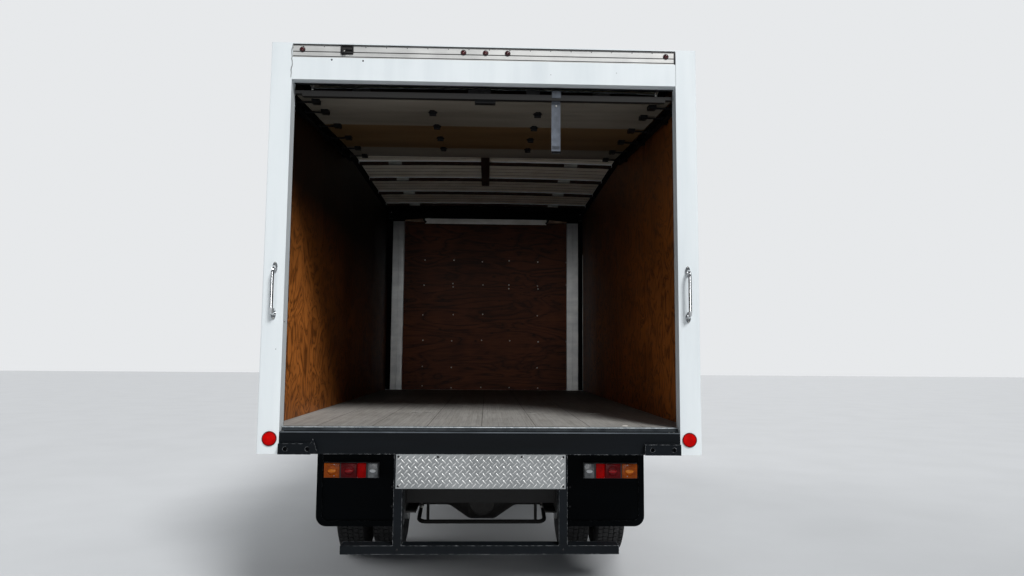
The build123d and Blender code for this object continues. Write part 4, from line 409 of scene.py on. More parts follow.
@dataclass(frozen=True)
class DoorPaint(Finish):
    """Painted plywood of the roll-up door: grey, two older panels tan, the bottom rail metal, coloured near
    black as painted shade.
    """

    tans: tuple[str, str] = ("543F25", "6C5537")
    # Near-black colours of the bottom rail: painted shade
    rails: tuple[str, str] = ("0C0B0B", "1D1C1A")
    edge_y: float = -3268.0
    pitch: float = 388.5
    rail_run: float = 47.0

    def dress(self, g: Graph) -> None:
        """Colours the panels by their place in the row, with smears and a faint grain.

        Args:
            g: the material's graph.
        """
        place = g.axis("Y")
        low, high = ((self.edge_y + panels * self.pitch) * MM for panels in (2, 4))
        older = g.math("MULTIPLY", g.math("GREATER_THAN", place, low), g.math("LESS_THAN", place, high))
        rail = g.math("LESS_THAN", place, (self.edge_y + self.rail_run) * MM)
        smear = g.noise(240, 6.0, g.along(5.0))
        grey, tan, dark = (
            g.ramp(smear, (0.3, first), (0.65, last))
            for first, last in ((self.tone, self.colour), self.tans, self.rails)
        )
        g.show("Base Color", g.mix(rail, g.mix(older, grey, tan), dark))
        g.bump(g.noise(7, 4.0, g.along(18.0)), 0.3, 0.4)


@dataclass(frozen=True)
class Lens(Finish):
    """Moulded acrylic: clear colour right through, glossy outside, fine upright prisms inside."""

    clear: float = 0.5
    prism_mm: float = 5.0

    def dress(self, g: Graph) -> None:
        """Draws the prisms and sets how far light passes.

        Args:
            g: the material's graph.
        """
        g.show("Transmission Weight", self.clear)
        g.show("IOR", 1.49)
        turns = {"Scale": 1000 / self.prism_mm / 6.28, "Vector": g.where}
        wave = g.add("TexWave", turns, bands_direction="X").outputs[0]
        g.show("Base Color", g.ramp(g.noise(30, 2.0), (0.3, self.tone), (0.7, self.colour)))
        g.bump(wave, 0.5, self.depth_mm)


@dataclass(frozen=True)
class Woven(Finish):
    """Cloth or webbing: two sets of threads over and under, with a soft sheen, grime blots and painted shade
    towards the roof.
    """

    sheen: float = 0.3
    grime_and_shade: float = 1.0

    def dress(self, g: Graph) -> None:
        """Draws the threads both ways, with grime blots and painted shade near the roof.

        Args:
            g: the material's graph.
        """
        g.show("Sheen Weight", self.sheen)
        threads = {"Scale": 1000 / self.grain_mm / 3.14, "Vector": g.where}
        fall = "Z" if self.grain is Grain.UPRIGHT else "Y"
        waves = [g.add("TexWave", threads, bands_direction=way).outputs[1] for way in ("X", fall)]
        cross = g.math("MULTIPLY", *waves)
        both = g.math("MULTIPLY_ADD", cross, 0.5, g.noise(45, 5.0))
        cloth = g.ramp(both, (0.35, self.tone), (0.8, self.colour))
        # Darker towards the roof: painted shade
        worn = g.span(g.axis("Z"), 2.7, 2.98, 1.0, self.grime_and_shade)
        blot = g.span(g.noise(60, 4.0, Roughness=0.7), 0.35, 0.65, self.grime_and_shade, 1.0)
        g.show("Base Color", g.times(cloth, g.math("MULTIPLY", worn, blot)))
        g.bump(cross, 0.6, self.depth_mm)


@dataclass(frozen=True)
class SheetGlass(Finish):
    """Laminated float glass with a faint green tint and a film of dust."""

    def dress(self, g: Graph) -> None:
        """Lets light through and lays dust on it.

        Args:
            g: the material's graph.
        """
        g.show("Transmission Weight", 1.0)
        g.show("IOR", 1.52)
        film = g.noise(200, 6.0)
        g.show("Roughness", g.span(film, 0.4, 1.0, 0.0, 0.09))
        g.show("Base Color", g.ramp(film, (0.3, self.tone), (0.6, self.colour)))


ACROSS = {"grain": Grain.ACROSS}
# White polyurethane enamel of the box: cool white, faint peel, light rain streaks
BOX_ENAMEL = Paint("enamel_white_box", "E4EAEC", "D8DFE2", 0.34, grain_mm=6, depth_mm=0.05, dirt_share=0.12)
# White cab enamel, baked and glossier
CAB_ENAMEL = Paint(
    "enamel_white_cab", "EEF0F0", "E3E7E8", 0.16, grain_mm=5, depth_mm=0.03, coat=0.6, dirt_share=0.22
)
# White wheel enamel with brake dust
WHEEL_ENAMEL = Paint(
    "enamel_white_wheel", "D4D7D8", "BFC3C4", 0.34, dirt="5B5148", dirt_top_mm=1500, dirt_share=0.55,
    grain_mm=7, depth_mm=0.06,
)
# Satin black chassis paint, scuffed to grey steel on its edges
SILL_BLACK = Paint(
    "satin_black_sill", "0B1015", "06090C", 0.45, dirt="2E2F2F", dirt_share=0.14, wear=0.65, metal="9DA0A2",
    shine=0.1, grain_mm=9, depth_mm=0.08, **ACROSS,
)
# The same paint on the mud panels, darker still as painted shade
PANEL_BLACK_SHADED = Paint(
    "panel_black_painted_shade", "04070A", "020406", 0.6, dirt="1C1E1F", dirt_share=0.1, wear=0.35, metal="5A5D5F",
    shine=0.04, grain_mm=9, depth_mm=0.08, **ACROSS,
)
# Brushed-on black of the frame, axles and guards, under road dust
FRAME_BLACK = Paint(
    "chassis_black", "141517", "0C0D0E", 0.55, dirt="3A362F", dirt_share=0.4, shine=0.25, grain_mm=14,
    depth_mm=0.15,
)
# Forged and cast iron, black with a brown bloom
AXLE_IRON = Finish("cast_iron_axle", "2A2826", "1A1817", 0.62, 0.25, 45, 0.5)
# Rolled spring leaves, blue-black scale with rust
SPRING_STEEL = Metal("spring_steel", "3A3633", "231F1C", 0.55, 0.6, 12, 0.2, Grain.ALONG)
# Mill-finish aluminium extrusion, weathered with dark streaks
RAIL_ALUMINIUM = Metal("weathered_aluminium", "D6D6D2", "8E8A84", 0.4, 0.85, 16, 0.1, stretch=12.0)
# Cleaner extrusion of the lamp rail, faint lines along it
LAMP_RAIL = Metal("lamp_rail_aluminium", "D3D3D0", "B4B4B2", 0.5, 0.35, 10, 0.05, stretch=40.0, **ACROSS)
# Hot-dip galvanised sheet with visible crystals
GALVANISED = Metal("galvanised_sheet", "D2D8DB", "A3ABAF", 0.5, 0.6, 14, 0.05, spangle=True)
# Plain bright sheet of the bulkhead's posts, darker at the top as painted shade
POST_SHEET = Metal(
    "bulkhead_sheet_painted_top_shade", "F2F3F1", "C4C8C9", 0.42, 0.3, 60, 0.05, stretch=8.0, top_shade=0.3, **ACROSS
)
# The same sheet without the painted shade
BRIGHT_SHEET = Metal("bright_bulkhead_sheet", "F2F3F1", "C9CBCA", 0.45, 0.3, 60, 0.05, stretch=8.0, **ACROSS)
# Pale plates on the roof bows, standing for reflections on them: painted highlights
BOW_PAINTED_HIGHLIGHT = Metal("bow_plate_painted_highlight", "A4A6A3", "565857", 0.4, 0.3, 60, 0.05, stretch=8.0, **ACROSS)
# Pale lacquered cover of the bulkhead's rail
RAIL_COVER = Finish("pale_rail_cover", "FAF9F5", "E6E4DD", 0.45, 0.0, 120, 0.05)
# Stained wedges at its ends
RAIL_WEDGE = Finish("stained_rail_wedge", "A88A72", "54423A", 0.6, 0.0, 90, 0.2)
# Worn edge of the rear sill, black paint rubbed through
SILL_EDGE = Metal("rubbed_sill_edge", "6A7177", "2C3236", 0.5, 0.5, 40, 0.1, stretch=6.0, **ACROSS)
# Scuffed black riser behind it
SILL_RISER = Finish("scuffed_sill_riser", "3A3F43", "22272B", 0.55, 0.0, 60, 0.2, shine=0.2)
# Inside of the roof sheet, yellowed
ROOF_SHEET = Finish("yellowed_roof_sheet", "FFFAEC", "EDE6D2", 0.55, 0.0, 180, 0.1)
# Zinc-plated hinges and rollers, coloured almost black as painted shade under the roof
DOOR_ZINC_SHADED = Metal("zinc_fittings_painted_shade", "19191A", "0B0B0C", 0.55, 0.4, 20, 0.1, shine=0.15, **ACROSS)
# Pressed steel of the door's tracks, shaft and springs, near black as painted shade
TRACK_STEEL_SHADED = Metal("track_steel_painted_shade", "0E0E0E", "060606", 0.65, 0.2, 20, 0.1, Grain.ALONG, shine=0.1)
# Bright-rolled aluminium of the diamond plate
DIAMOND_PLATE = Metal("bright_diamond_plate", "989B9C", "7C7F80", 0.45, 0.6, 30, 0.06, stretch=4.0, **ACROSS)
# Polished tops of its lugs, rubbed by boots
DIAMOND_LUG = Metal("rubbed_diamond_lug", "E0E0DF", "CFD0CF", 0.3, 0.5, 10, 0.02)
# Chrome-plated zinc of the grab handles
CHROME = Metal("chrome_plate", "E8E9EA", "B9BCBE", 0.12, 1.0, 60, 0.02, stretch=2.0)
# Small bright fasteners: zinc-plated steel
BOLT_ZINC = Metal("zinc_bolt", "B9B9B4", "83827E", 0.35, 0.9, 8, 0.05)
# Black phosphated screws
SCREW_BLACK = Metal("black_screw", "1D1D1E", "101011", 0.5, 0.5, 8, 0.05)
SHEET = {"grain_mm": 7, "depth_mm": 0.25}
FLAMED = {**SHEET, "figure_mm": 240, "flame": 1.3, "figure_share": 0.5}
# Meranti plywood lining, varnished orange-brown, sheets on end, darker towards the roof and deeper in as
# painted shade
LINING = Plywood("varnished_lining_plywood", "C0702C", "5E2C0C", 0.5, shine=0.3, front_shade=0.75, **FLAMED)
# The left side's sheets, paler by the opening as painted light, near black under the roof and deeper in as
# painted shade
LINING_SHADED = Plywood(
    "lining_plywood_painted_shade", "D27E38", "6E3812", 0.5, shine=0.15, top_shade=0.03, shade_full_z=2.55,
    front_shade=0.35, **FLAMED,
)
# The bulkhead's darker red sheets lie on their side, darkened further as painted shade, most under the roof
BULKHEAD_PLY = Plywood(
    "bulkhead_plywood", "8A4B29", "4E2613", 0.6, shine=0.2, top_shade=0.6, knot_share=0.75, **SHEET, **ACROSS
)
# Near-black board in the corners, along the front of the roof and in its side coves, standing where there is
# shade: painted shade
BLACK_BOARD_AND_SHADE = Finish("black_board_and_painted_shade", "0B0B0C", "060606", 0.9, 0.0, 30, 0.2, shine=0.1)
# Dark strips under and on the rear faces of the roof bows: stain, and painted shade
BOW_STAIN_AND_SHADE = Finish("bow_strip_stain_and_painted_shade", "2E1D14", "170D08", 0.7, 0.0, 40, 0.2, shine=0.2)
# Oiled plywood of the roof's centre board, darkened under the roof as painted shade
ROOF_BOARD = Plywood(
    "roof_board_plywood", "4A2C1B", "28160D", 0.6, grain_mm=7, front_shade=1.0, grain=Grain.ALONG
)
# Laminated hardwood floor, grey-brown with dust, darker deeper in as painted shade
DECK_WOOD = Boards("laminated_deck_wood", "A4A29E", "9A9893", 0.65, shine=0.25, grain=Grain.ALONG)
# Door panels in old grey paint, the bottom rail near black as painted shade
DOOR_PAINT = DoorPaint("painted_door_panels", "7C776D", "615C52", 0.55, shine=0.3, **ACROSS)
# Vulcanised tyre rubber with dust in its grooves
TYRE_RUBBER = Finish("tyre_rubber", "242425", "161617", 0.78, 0.0, 50, 0.3)
# Extruded black rubber seals
SEAL_RUBBER = Finish("seal_rubber", "17181A", "0F1011", 0.6, 0.0, 25, 0.1)
# Moulded black plastic with a fine grain
BLACK_PLASTIC = Finish("grained_black_plastic", "202224", "16171A", 0.5, 0.0, 9, 0.12)
# Grey cab trim, soft moulded plastic
TRIM_PLASTIC = Finish("grey_trim_plastic", "6C6F73", "5C5F63", 0.55, 0.0, 9, 0.15)
# Woven polyester seat cloth, 2 mm threads drawn at 4 mm so that they show
SEAT_CLOTH = Woven("woven_seat_cloth", "5C626B", "34383F", 0.85, grain_mm=4, depth_mm=0.5, grain=Grain.ALONG)
# Pull strap: light grey webbing with a blue cast, grime blots and painted shade near the roof
WEBBING = Woven("grey_webbing", "626A76", "444A54", 0.7, grain_mm=5, depth_mm=0.4, grime_and_shade=0.6)
# Tail lamp lenses, the reversing lamp's clouded with age, and bright spots over the bulbs: painted highlights
REVERSE_LENS = Lens("clouded_clear_lens", "8E9193", "65686B", 0.2, depth_mm=0.5, clear=0.3)
RED_LENS = Lens("red_lens", "7E040D", "520209", 0.3, depth_mm=0.5, clear=0.05, shine=0.1)
RED_PAINTED_HIGHLIGHT = Lens("red_painted_highlight", "C00C18", "A00810", 0.25, clear=0.1, shine=0.2)
AMBER_PAINTED_HIGHLIGHT = Lens("amber_painted_highlight", "FF9422", "EE7A10", 0.25, clear=0.1, shine=0.2)
CLEAR_PAINTED_HIGHLIGHT = Lens("clear_painted_highlight", "F2F4F6", "D8DCE0", 0.15, clear=0.1, shine=0.4)
# Opaque red reflectors
REFLEX_RED = Lens(
    "red_reflector", "CC0302", "A80202", 0.35, depth_mm=0.4, prism_mm=3.0, clear=0.0, shine=0.05
)
# Lenses of the indicators, headlamps and markers
AMBER_LENS = Lens("amber_lens", "C85E08", "903C03", 0.25, depth_mm=0.5, clear=0.1, shine=0.12)
CLEAR_LENS = Lens("clear_lens", "C4C8CA", "9A9EA2", 0.1, depth_mm=0.5, clear=0.55)
DARK_MARKER = Lens("dark_red_marker", "5A141A", "33090D", 0.15, depth_mm=0.4, prism_mm=4.0, clear=0.2)
# Tinted cab glass
CAB_GLASS = SheetGlass("tinted_cab_glass", "D3E2DC", "C4D6CF", 0.02)
# Silvered mirror glass and lamp bowls
MIRROR = Metal("silvered_glass", "E6E9EA", "D2D6D8", 0.05, 1.0, 90, 0.0)
# White lacquered dots: screw heads seen against the plywood
SCREW_WHITE = Finish("white_screw_head", "F4F2EC", "D8D4CA", 0.4, 0.3, 6, 0.05)
# Dial faces and their marks
DIAL_FACE = Finish("dial_face", "121314", "0B0C0D", 0.3, 0.0, 20, 0.02)
DIAL_MARK = Finish("dial_mark", "E4E4DE", "D2D2CC", 0.5, 0.0, 20, 0.02)
# Bead of sealant, hand drawn, grey as painted shade of its seam
SEALANT_AND_SHADE = Finish("sealant_grey_painted_shade", "A9ACAD", "6E7173", 0.7, 0.0, 25, 0.6)

# CAD nodes that wear each finish
WORN_BY: dict[Finish, str] = {
    FRAME_BLACK: "frame_rail_left frame_rail_right crossmembers stabiliser_and_dampers long_sills"
    " cross_sills tie_rod",
    AXLE_IRON: "front_axle rear_axle propeller_shaft engine_block knuckle_left knuckle_right",
    SPRING_STEEL: "leaf_springs",
    GALVANISED: "fuel_tank exhaust",
    BLACK_PLASTIC: "battery_box cab_grille mirrors steering_wheel",
    CAB_ENAMEL: "front_bumper cab_floor cab_back cab_front cab_roof door_left door_right",
    DECK_WOOD: "cargo_deck",
    BOX_ENAMEL: "wall_left wall_right wall_front roof rear_posts rear_header",
    SILL_BLACK: "rear_sill dock_brackets underrun_guard",
    POST_SHEET: "bulkhead_frame",
    DOOR_PAINT: "roll_door_panels",
    DOOR_ZINC_SHADED: "roll_door_hardware",
    TRACK_STEEL_SHADED: "roll_door_tracks",
    WEBBING: "pull_strap",
    CHROME: "grab_handles",
    DIAMOND_PLATE: "tread_plate",
    PANEL_BLACK_SHADED: "lamp_panels",
    RED_LENS: "rear_lamps",
    CAB_GLASS: "cab_glass door_glass_left door_glass_right",
    CLEAR_LENS: "front_lamps",
    TRIM_PLASTIC: "dashboard",
    SEAT_CLOTH: "seats",
    TYRE_RUBBER: "tyre_front_left tyre_front_right tyres_rear_left tyres_rear_right",
    WHEEL_ENAMEL: "rim_front_left rim_front_right rims_rear_left rims_rear_right",
}


def rounded(bm: Mesh, width: float, segments: int = 2, edges: Optional[list] = None) -> Mesh:
    """Rounds all or some of a mesh's edges and gives the mesh back.

    Args:
        bm: the mesh.
        width: width of the rounding.
        segments: steps of the rounding.
        edges: the edges, all if they aren't given.
    Returns:
        The same mesh.
    """
    chosen = bm.edges[:] if edges is None else edges
    bmesh.ops.bevel(
        bm, geom=chosen, offset=width, affect="EDGES", segments=segments, profile=0.5, material=-1
    )
    return bm


def pushed(bm: Mesh, corners: Sequence[Point], move: Point) -> Mesh:
    """Makes a face from corners and pushes it to a solid.

    Args:
        bm: an empty mesh.
        corners: the face's corners.
        move: how far it is pushed.
    Returns:
        The same mesh.
    """
    face = bm.faces.new([bm.verts.new(c) for c in corners])
    new = bmesh.ops.extrude_face_region(bm, geom=[face])["geom"]
    bmesh.ops.translate(bm, verts=[v for v in new if isinstance(v, bmesh.types.BMVert)], vec=move)
    bmesh.ops.recalc_face_normals(bm, faces=bm.faces)
    return bm


def block(low: Point, high: Point, bevel: float = 0.0, segments: int = 2) -> Mesh:
    """A box between two corners, with its edges rounded.

    Args:
        low: one corner.
        high: the corner across from it.
        bevel: width of the rounding, 0 for none.
        segments: steps of the rounding.
    Returns:
        The box.
    """
    bm = bmesh.new()
    a, b = Vector(map(min, low, high)), Vector(map(max, low, high))
    place = Matrix.Translation((a + b) / 2) @ Matrix.Diagonal((*(b - a), 1.0))
    bmesh.ops.create_cube(bm, size=1.0, matrix=place)
    return rounded(bm, bevel, segments) if bevel else bm


def facing(direction: Point, at: Point = (0, 0, 0)) -> Matrix:
    """Turns +Z to a direction and moves to a place."""
    return Matrix.Translation(Vector(at)) @ Vector(direction).to_track_quat("Z", "Y").to_matrix().to_4x4()


def rod(start: Point, end: Point, radius: float, end_radius: Optional[float] = None, sides: int = 16) -> Mesh:
    """A round or tapered bar between two points.

    Args:
        start: middle of its first end.
        end: middle of its other end.
        radius: radius at the start.
        end_radius: radius at the end, the same if it isn't given.
        sides: faces round it.
    Returns:
        The bar.
    """
    bm = bmesh.new()
    a, b = Vector(start), Vector(end)
    far = radius if end_radius is None else end_radius
    size = {"segments": sides, "radius1": radius, "radius2": far, "depth": (b - a).length}
    bmesh.ops.create_cone(bm, cap_ends=True, matrix=facing(b - a, (a + b) / 2), **size)
    return bm


def peg(at: Point, run: float, radius: float, end_radius: Optional[float] = None, sides: int = 6) -> Mesh:
    """A bar or hexagon across the truck, from a point on by a run."""
    return rod(at, (at[0] + run, *at[1:]), radius, end_radius, sides)


def dome(at: Point, direction: Point, radius: float, height: float, sides: int = 16) -> Mesh:
    """A low round head, such as a lens or a rivet.

    Args:
        at: middle of its foot.
        direction: where it points.
        radius: radius of its foot.
        height: how far it stands out.
        sides: faces round it.
    Returns:
        The dome.
    """
    bm = bmesh.new()
    bmesh.ops.create_uvsphere(bm, u_segments=sides, v_segments=max(sides // 2, 4), radius=1.0)
    cut = bm.verts[:] + bm.edges[:] + bm.faces[:]
    bmesh.ops.bisect_plane(bm, geom=cut, plane_co=(0, 0, 0), plane_no=DOWN, clear_outer=True)
    bmesh.ops.contextual_create(bm, geom=[e for e in bm.edges if e.is_boundary])
    place = facing(direction, at) @ Matrix.Diagonal((radius, radius, height, 1.0))
    bmesh.ops.transform(bm, verts=bm.verts, matrix=place)
    return bm


def turned(profile: Flat, at: Point, direction: Point, sides: int = 32) -> Mesh:
    """A shape turned on a lathe.

    Args:
        profile: radius and height of each point, closed through its last point if it repeats the first.
        at: where height 0 of the axis lies.
        direction: the axis.
        sides: steps round it.
    Returns:
        The turned shape.
    """
    bm = bmesh.new()
    rows = [bm.verts.new((r, 0.0, h)) for r, h in profile]
    edges = [bm.edges.new(pair) for pair in zip(rows, rows[1:])]
    circle = {"cent": (0, 0, 0), "axis": UP, "angle": 2 * math.pi, "steps": sides}
    bmesh.ops.spin(bm, geom=rows + edges, use_merge=True, **circle)
    bmesh.ops.remove_doubles(bm, verts=bm.verts, dist=0.01)
    bmesh.ops.recalc_face_normals(bm, faces=bm.faces)
    bmesh.ops.transform(bm, verts=bm.verts, matrix=facing(direction, at))
    return bm


def prism(outline: Flat, axis: Grain, low: float, high: float, bevel: float = 0.0) -> Mesh:
    """A flat outline pushed along an axis.

    Args:
        outline: points in the plane across the axis, the other two axes in their order.
        axis: the way it is pushed.
        low: where it starts.
        high: where it ends.
        bevel: rounding of its edges, 0 for none.
    Returns:
        The prism.
    """
    corners = [[*place[: axis.value], low, *place[axis.value :]] for place in outline]
    move = [0.0, 0.0, 0.0]
    move[axis.value] = high - low
    bm = pushed(bmesh.new(), corners, move)
    return rounded(bm, bevel) if bevel else bm


def pipe(points: Sequence[Point], radius: float, closed: bool = False, sides: int = 3) -> Mesh:
    """A round bar, wire or rubber strip along a smooth line.

    Args:
        points: the points it follows.
        radius: its radius.
        closed: whether it goes back to its start.
        sides: steps of a quarter turn round it.
    Returns:
        The pipe.
    """
    data = bpy.data.curves.new("line", "CURVE")
    data.dimensions = "3D"
    data.bevel_depth = radius
    data.bevel_resolution = sides
    data.resolution_u = 4
    data.use_fill_caps = not closed
    line = data.splines.new("NURBS")
    line.points.add(len(points) - 1)
    for spot, place in zip(line.points, points):
        spot.co = (*place, 1.0)
    line.order_u = 3
    line.use_cyclic_u = closed
    line.use_endpoint_u = not closed
    holder = bpy.data.objects.new("line", data)
    mesh = bpy.data.meshes.new_from_object(holder)
    bm = bmesh.new()
    bm.from_mesh(mesh)
    bpy.data.objects.remove(holder)
    bpy.data.curves.remove(data)
    bpy.data.meshes.remove(mesh)
    return bm


class Skin:
    """Outer faces of some CAD nodes, on which fittings are seated."""

    def __init__(self, *nodes: str) -> None:
        """Reads the nodes' meshes.

        Args:
            nodes: names of the CAD nodes.
        """
        corners, faces = [], []
        for name in nodes:
            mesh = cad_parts[name].data
            start = len(corners)
            corners += [v.co * 1000 for v in mesh.vertices]
            faces += [[start + i for i in p.vertices] for p in mesh.polygons]
        self.tree = BVHTree.FromPolygons(corners, faces)

    def touch(self, start: Point, direction: Point) -> tuple[Vector, Vector]:
        """Where a straight line first meets the skin.

        Args:
            start: a point outside.
            direction: the way towards the skin.
        Returns:
            The point on the skin, and the skin's direction out.
        """
        spot, out, _, _ = self.tree.ray_cast(Vector(start), Vector(direction))
        if spot is None:
            raise ValueError(f"nothing there from {tuple(start)}")
        return spot, (-out if out.dot(Vector(direction)) > 0 else out)


def moved(*places: Point) -> list[Matrix]:
    """Plain moves to each of some places."""
    return [Matrix.Translation(Vector(p)) for p in places]


class Piece:
    """One new piece of the truck, put together from parts in millimetres."""

    def __init__(self, name: str, slot: str, body: str = "chassis") -> None:
        """Starts an empty piece.

        Args:
            name: the piece's name.
            slot: the record's material slot of its finish.
            body: the CAD body that carries it.
        """
        self.name, self.body, self.slot = name, body, slot
        self.bm = bmesh.new()
        self.finishes: list[Finish] = []

    def add(self, part: Mesh, finish: Finish, places: Iterable[Matrix] = (Matrix(),)) -> None:
        """Adds a part once for each place.

        Args:
            part: the part, which is used up.
            finish: its finish.
            places: where its copies go.
        """
        if finish not in self.finishes:
            self.finishes.append(finish)
        for face in part.faces:
            face.material_index = self.finishes.index(finish)
        mesh = bpy.data.meshes.new("part")
        part.to_mesh(mesh)
        part.free()
        for place in places:
            copy = mesh.copy()
            copy.transform(place)
            if place.determinant() < 0:
                copy.flip_normals()
            self.bm.from_mesh(copy)
            bpy.data.meshes.remove(copy)
        bpy.data.meshes.remove(mesh)

    def heads(
        self, spots: Iterable[Point], way: Point, radius: float, height: float, finish: Finish, sides: int = 8
    ) -> None:
        """Adds a row of screw, rivet or bolt heads."""
        self.add(dome((0, 0, 0), way, radius, height, sides), finish, moved(*spots))

    def done(self, *replaced: str, sharp: float = 38.0) -> bpy.types.Object:
        """Makes the object, seats it on its body and reports it.

        Args:
            replaced: CAD nodes that it stands for.
            sharp: angle in degrees above which an edge stays sharp.
        Returns:
            The new object.
        """
        bmesh.ops.scale(self.bm, vec=(MM, MM, MM), verts=self.bm.verts)
        for face in self.bm.faces:
            face.smooth = True
        for edge in self.bm.edges:
            edge.smooth = edge.is_manifold and edge.calc_face_angle(0.0) < math.radians(sharp)
        mesh = bpy.data.meshes.new(self.name)
        self.bm.to_mesh(mesh)
        self.bm.free()
        for finish in self.finishes:
            mesh.materials.append(finish.material())
        made = bpy.data.objects.new(self.name, mesh)
        bpy.context.scene.collection.objects.link(made)
        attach(made, self.body)
        if replaced:
            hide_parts(*replaced)
        LOG.info("%s: %d faces on %s", self.name, len(mesh.polygons), self.body)
        return made


BOTH = (Matrix(), Matrix.Diagonal((-1.0, 1.0, 1.0, 1.0)))
SIDES = ((-1, "left"), (1, "right"))


@dataclass
class RearFrame:
    """White frame round the rear opening with its lamp rail, sill and reflectors."""

    rail_low: float = 3149.0
    rail_high: float = 3229.0
    rail_back: float = REAR_Y + 10.0
    rail_face: float = REAR_Y + 6.6
    rivet_xs: tuple[int, ...] = tuple(range(-1040, 1041, 118))
    marker_z: float = 3197.0
    marker_xs: tuple[float, ...] = (-1045.0, -127.0, 0.0, 127.0, 1045.0)
    reflector: tuple[float, float, float] = (1150.0, 1006.0, 40.0)
    handle_x: float = 1152.0
    handle_feet: tuple[float, float] = (1668.0, 1958.0)

    def lamp_rail(self) -> None:
        """Fluted aluminium strip in the header's recess, with black rivet heads along it."""
        back, low, high, half = self.rail_back, self.rail_low, self.rail_high, OPENING_HALF - 1
        edge = [
            (back, low), (back - 4, low), (back - 4, low + 6), (back - 1.5, low + 8), (back - 1.5, low + 11),
            (back - 3.5, low + 13), (back - 3.5, low + 33), (back - 1.5, low + 35), (back - 1.5, low + 38),
            (back - 3.5, low + 40), (back - 3.5, high - 7), (back - 7, high - 4), (back - 7, high),
            (back, high),
        ]
        piece = Piece("lamp_rail", "aluminium")
        piece.add(prism(edge, Grain.ACROSS, -half, half), LAMP_RAIL)
        # Black strips in the two grooves and under the top lip: painted shade
        grooves = ((low + 7.5, low + 11.5, 2.6), (low + 34.5, low + 38.5, 2.6), (high - 7, high - 1, 7.4))
        for z0, z1, out in grooves:
            piece.add(block((-half, back - out, z0), (half, back - 1, z1)), SEAL_RUBBER)
        piece.heads([(x, self.rail_face, high - 13) for x in self.rivet_xs], BACK, 3.2, 1.4, SCREW_BLACK)
        # Black block at the rail's right end: painted shade of the gap there
        piece.add(block((half - 5, back - 9, low), (half, back, high), 1), SCREW_BLACK)
        piece.done()

    def markers(self) -> None:
        """Five small dark red marker lamps on rubber rings."""
        piece = Piece("marker_lamps", "lamp_red")
        places = moved(*[(x, self.rail_face, self.marker_z) for x in self.marker_xs])
        ring = [(0, 0), (16.5, 0), (16.5, 2.5), (14, 4), (0, 4)]
        piece.add(turned(ring, (0, 0, 0), BACK, 20), SEAL_RUBBER, places)
        piece.add(dome((0, -3.0, 0), BACK, 13.0, 7.5, 20), DARK_MARKER, places)
        piece.done("rear_lamps")

    def plate_bracket(self) -> None:
        """Torn open bracket that once carried a lamp, with one leg bent down."""
        back = self.rail_face
        piece = Piece("torn_bracket", "frame_black")
        piece.add(block((-826, back - 2, 3172), (-757, back, 3225)), AXLE_IRON)
        for x0, z0, x1, z1 in (
            (-828, 3220, -755, 3227), (-828, 3176, -757, 3183), (-828, 3176, -820, 3227),
            (-764, 3180, -755, 3227), (-800, 3196, -758, 3203),
        ):
            piece.add(block((x0, back - 9, z0), (x1, back, z1), 1.5), SCREW_BLACK)
        leg = [(-824, 4, 3180), (-822, 6, 3172), (-812, 8, 3168), (-800, 5, 3172)]
        piece.add(pipe([(x, back - out, z) for x, out, z in leg], 3), SCREW_BLACK)
        piece.add(dome((-808, back - 6, 3190), BACK, 5, 3, 10), BOLT_ZINC)
        piece.done()

    def seams(self) -> None:
        """Hand-drawn sealant beside the posts, two plugged holes and small knocks in the header."""
        rand = random.Random(4)
        piece = Piece("header_sealant", "white_paint")
        # Grey beads beside both posts: sealant, greyed as painted shade of the seam
        line = [(-1101 + rand.uniform(-4, 4), REAR_Y - 0.4, z) for z in range(3030, 3230, 12)]
        piece.add(pipe(line, 2.8, sides=2), SEALANT_AND_SHADE)
        piece.add(pipe([(1100, REAR_Y - 0.2, z) for z in range(3024, 3230, 40)], 1.1, sides=1), SEALANT_AND_SHADE)
        piece.done()
        holes = Piece("header_plugs", "frame_black")
        face = REAR_Y + 0.1
        holes.heads([(-877, face, 3137), (-699, face, 3134)], BACK, 5.5, 0.8, SCREW_BLACK, 12)
        knocks = [(376, face, 3074), (756, face, 3092), (-1090, face, 1640), (-1133, face, 1490)]
        holes.heads(knocks, BACK, 2.4, 0.4, SCREW_BLACK)
        holes.done()

    def sill(self) -> None:
        """Worn nose along the black sill, scuffed riser, bright edge of the deck, and bolts on the ledge."""
        piece = Piece("sill_nosing", "aluminium")
        half, ledge = OPENING_HALF - 3, REAR_Y + 45
        nose = [(-0.8, 1039), (-0.8, 1044.8), (6, 1044.8), (6, 1043.8), (0, 1043.8), (0, 1039)]
        edge = [(REAR_Y + y, z) for y, z in nose]
        piece.add(prism(edge, Grain.ACROSS, -OPENING_HALF + 2, OPENING_HALF - 2), SILL_EDGE)
        piece.add(block((-half, ledge - 1.2, 1046), (half, ledge - 0.1, 1062)), SILL_RISER)
        piece.add(block((-half, ledge - 1.6, FLOOR_Z - 5), (half, ledge + 8, FLOOR_Z + 0.7), 0.5), GALVANISED)
        piece.heads([(x, REAR_Y + 14, 1043.8) for x in (1040, 1066, -1082)], UP, 6, 4, BOLT_ZINC, 10)
        piece.done()

    def reflectors(self) -> None:
        """Two round red reflectors with a raised rim."""
        x, z, r = self.reflector
        piece = Piece("round_reflectors", "lamp_red")
        places = moved((x, REAR_Y, z), (-x, REAR_Y, z))
        rim = [(0, -0.5), (r, -0.5), (r, 5), (r - 1.5, 6.5), (r - 4, 6.5), (r - 4, 4), (0, 4)]
        piece.add(turned(rim, (0, 0, 0), BACK, 40), RED_LENS, places)
        piece.add(dome((0, -3.5, 0), BACK, r - 4.5, 3.5, 32), REFLEX_RED, places)
        piece.done("rear_lamps")

